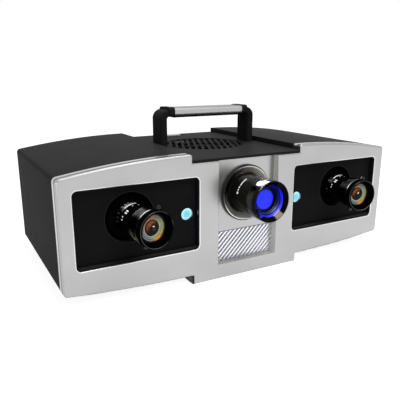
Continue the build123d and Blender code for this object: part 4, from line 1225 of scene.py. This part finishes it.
@dataclass
class CameraLens:
    """One camera lens: black anodised rings, a front element with painted reflections and printed marks."""

    side: Side
    casing: Casing
    bands: tuple[Band, ...] = (
        Band(1.0, 10.8, "#101010"), Band(31.0, 44.5, "#101010"), Band(46.4, 47.9, "#8A8A86"),
        Band(55.2, 55.8, "#3A3A36"))
    index: PrintedRing = PrintedRing(17.0, (
        Marks(DOT, 2, start_deg=-78.0, step_deg=11.0, width_mm=1.6, along_mm=12.5),
        Marks(BAR, 2, start_deg=-50.0, step_deg=9.0, width_mm=1.5, along_mm=15.2, length_mm=4.2),
        Marks(DOT, 4, start_deg=-12.0, step_deg=24.0, width_mm=1.4, along_mm=12.8)))
    iris: PrintedRing = PrintedRing(17.6, (
        Marks(BAR, 6, start_deg=-34.0, step_deg=8.0, width_mm=1.6, along_mm=8.4, length_mm=2.4),))

    def dress(self) -> None:
        """Paint the rings, paint reflections onto the front glass and print the marks."""
        word = self.side.word
        axis = Axis.of_joint(f"{word}_focus_turn")
        # Turned and anodised: deep black, with bands that catch the light
        black = LensBlack(
            f"{word}_black_anodised_lens", "#0E0E0F", "#0A0A0B", 0.1, specular=0.0, grain_mm=1.0,
            grain_depth_mm=0.002, gloss_spread=0.03, axis=axis, bands=self.bands).make()
        for node in ("lens_barrel", "iris_ring", "focus_ring"):
            self.casing.paint(f"{word}_{node}", black)
        # Polished glass with painted reflections: coloured rings that glint over a dark cell
        self.casing.paint(f"{word}_front_glass", CoatedGlass(f"{word}_coated_glass", axis).make())
        ink = self.casing.material(PRINT_KEY)
        self.index.apply(f"{word}_lens_marks", axis, ROOT_BODY, ink)
        self.iris.apply(f"{word}_iris_marks", axis, f"{word}_iris", ink)


@dataclass
class ProjectorLens:
    """The projector's lens in the middle: dark rings, its blue glass and a printed scale."""

    casing: Casing
    length_mm: float = 45.5
    bands: tuple[Band, ...] = (Band(14.2, 15.0, "#363634"), Band(29.5, 39.0, "#363634"))
    bore: Bore = Bore(33.0, 41.0, front_mm=38.2, ring_tints=("#14142A", "#263052"),
                      front_tint="#2A2AD0")
    scale: PrintedRing = PrintedRing(23.2, (
        Marks(DOT, 1, start_deg=-76.0, step_deg=0.0, width_mm=2.8, along_mm=7.6),
        Marks(DOT, 2, start_deg=-67.0, step_deg=8.0, width_mm=2.0, along_mm=7.6),
        Marks(BAR, 9, start_deg=-52.0, step_deg=3.1, width_mm=0.9, along_mm=7.8, length_mm=1.9)))

    def dress(self) -> None:
        """Paint the rings and the glass, and print the scale."""
        front_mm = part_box("projector_focus_ring")[0].y / MM
        axis = Axis((0.0, front_mm + self.length_mm, PROJECTOR.point_mm[2]))
        # Turned and anodised: dark olive-grey, with a bore that mirrors the glass and also has its blue reflection
        # painted on
        black = LensBlack(
            "dark_anodised_projector", "#2A2A28", "#242422", 0.08, specular=0.02, grain_mm=1.0,
            grain_depth_mm=0.002, gloss_spread=0.03, axis=axis, bands=self.bands,
            bore=self.bore).make()
        for node in PROJECTOR_RINGS:
            self.casing.paint(node, black)
        # Polished and coated: a vivid blue disc with a painted glow, inside a dark rim
        self.casing.paint("projector_glass", BlueGlass("blue_projector_glass", axis).make())
        self.scale.apply("projector_marks", axis, ROOT_BODY, self.casing.material(PRINT_KEY))


@dataclass
class BackPanel:
    """The rear panel's screws."""

    casing: Casing
    screws: ScrewGrid = ScrewGrid(2, 2, width_mm=142.0, height_mm=128.0)
    middle_z_mm: float = 74.0

    def dress(self) -> None:
        """Drive the screws into the panel's corners."""
        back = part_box("rear_panel")[1].y
        mesh = self.screws.mesh(self.casing.material(SCREW_SLOT))
        lift = self.screws.proud_mm / 2 - self.screws.sunk_mm
        mesh.transform(Matrix.Translation((0.0, back + lift * MM, self.middle_z_mm * MM))
                       @ Matrix.Rotation(-math.pi / 2, 4, "X"))
        join("rear_screws", [mesh], ROOT_BODY)


def main() -> None:
    """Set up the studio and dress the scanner."""
    logging.basicConfig(level=logging.INFO, format="%(name)s %(message)s")
    Studio().build()
    casing = Casing()
    casing.dress()
    for side in Side:
        CameraLens(side, casing).dress()
    ProjectorLens(casing).dress()
    BackPanel(casing).dress()


if __name__ == "__main__":
    main()
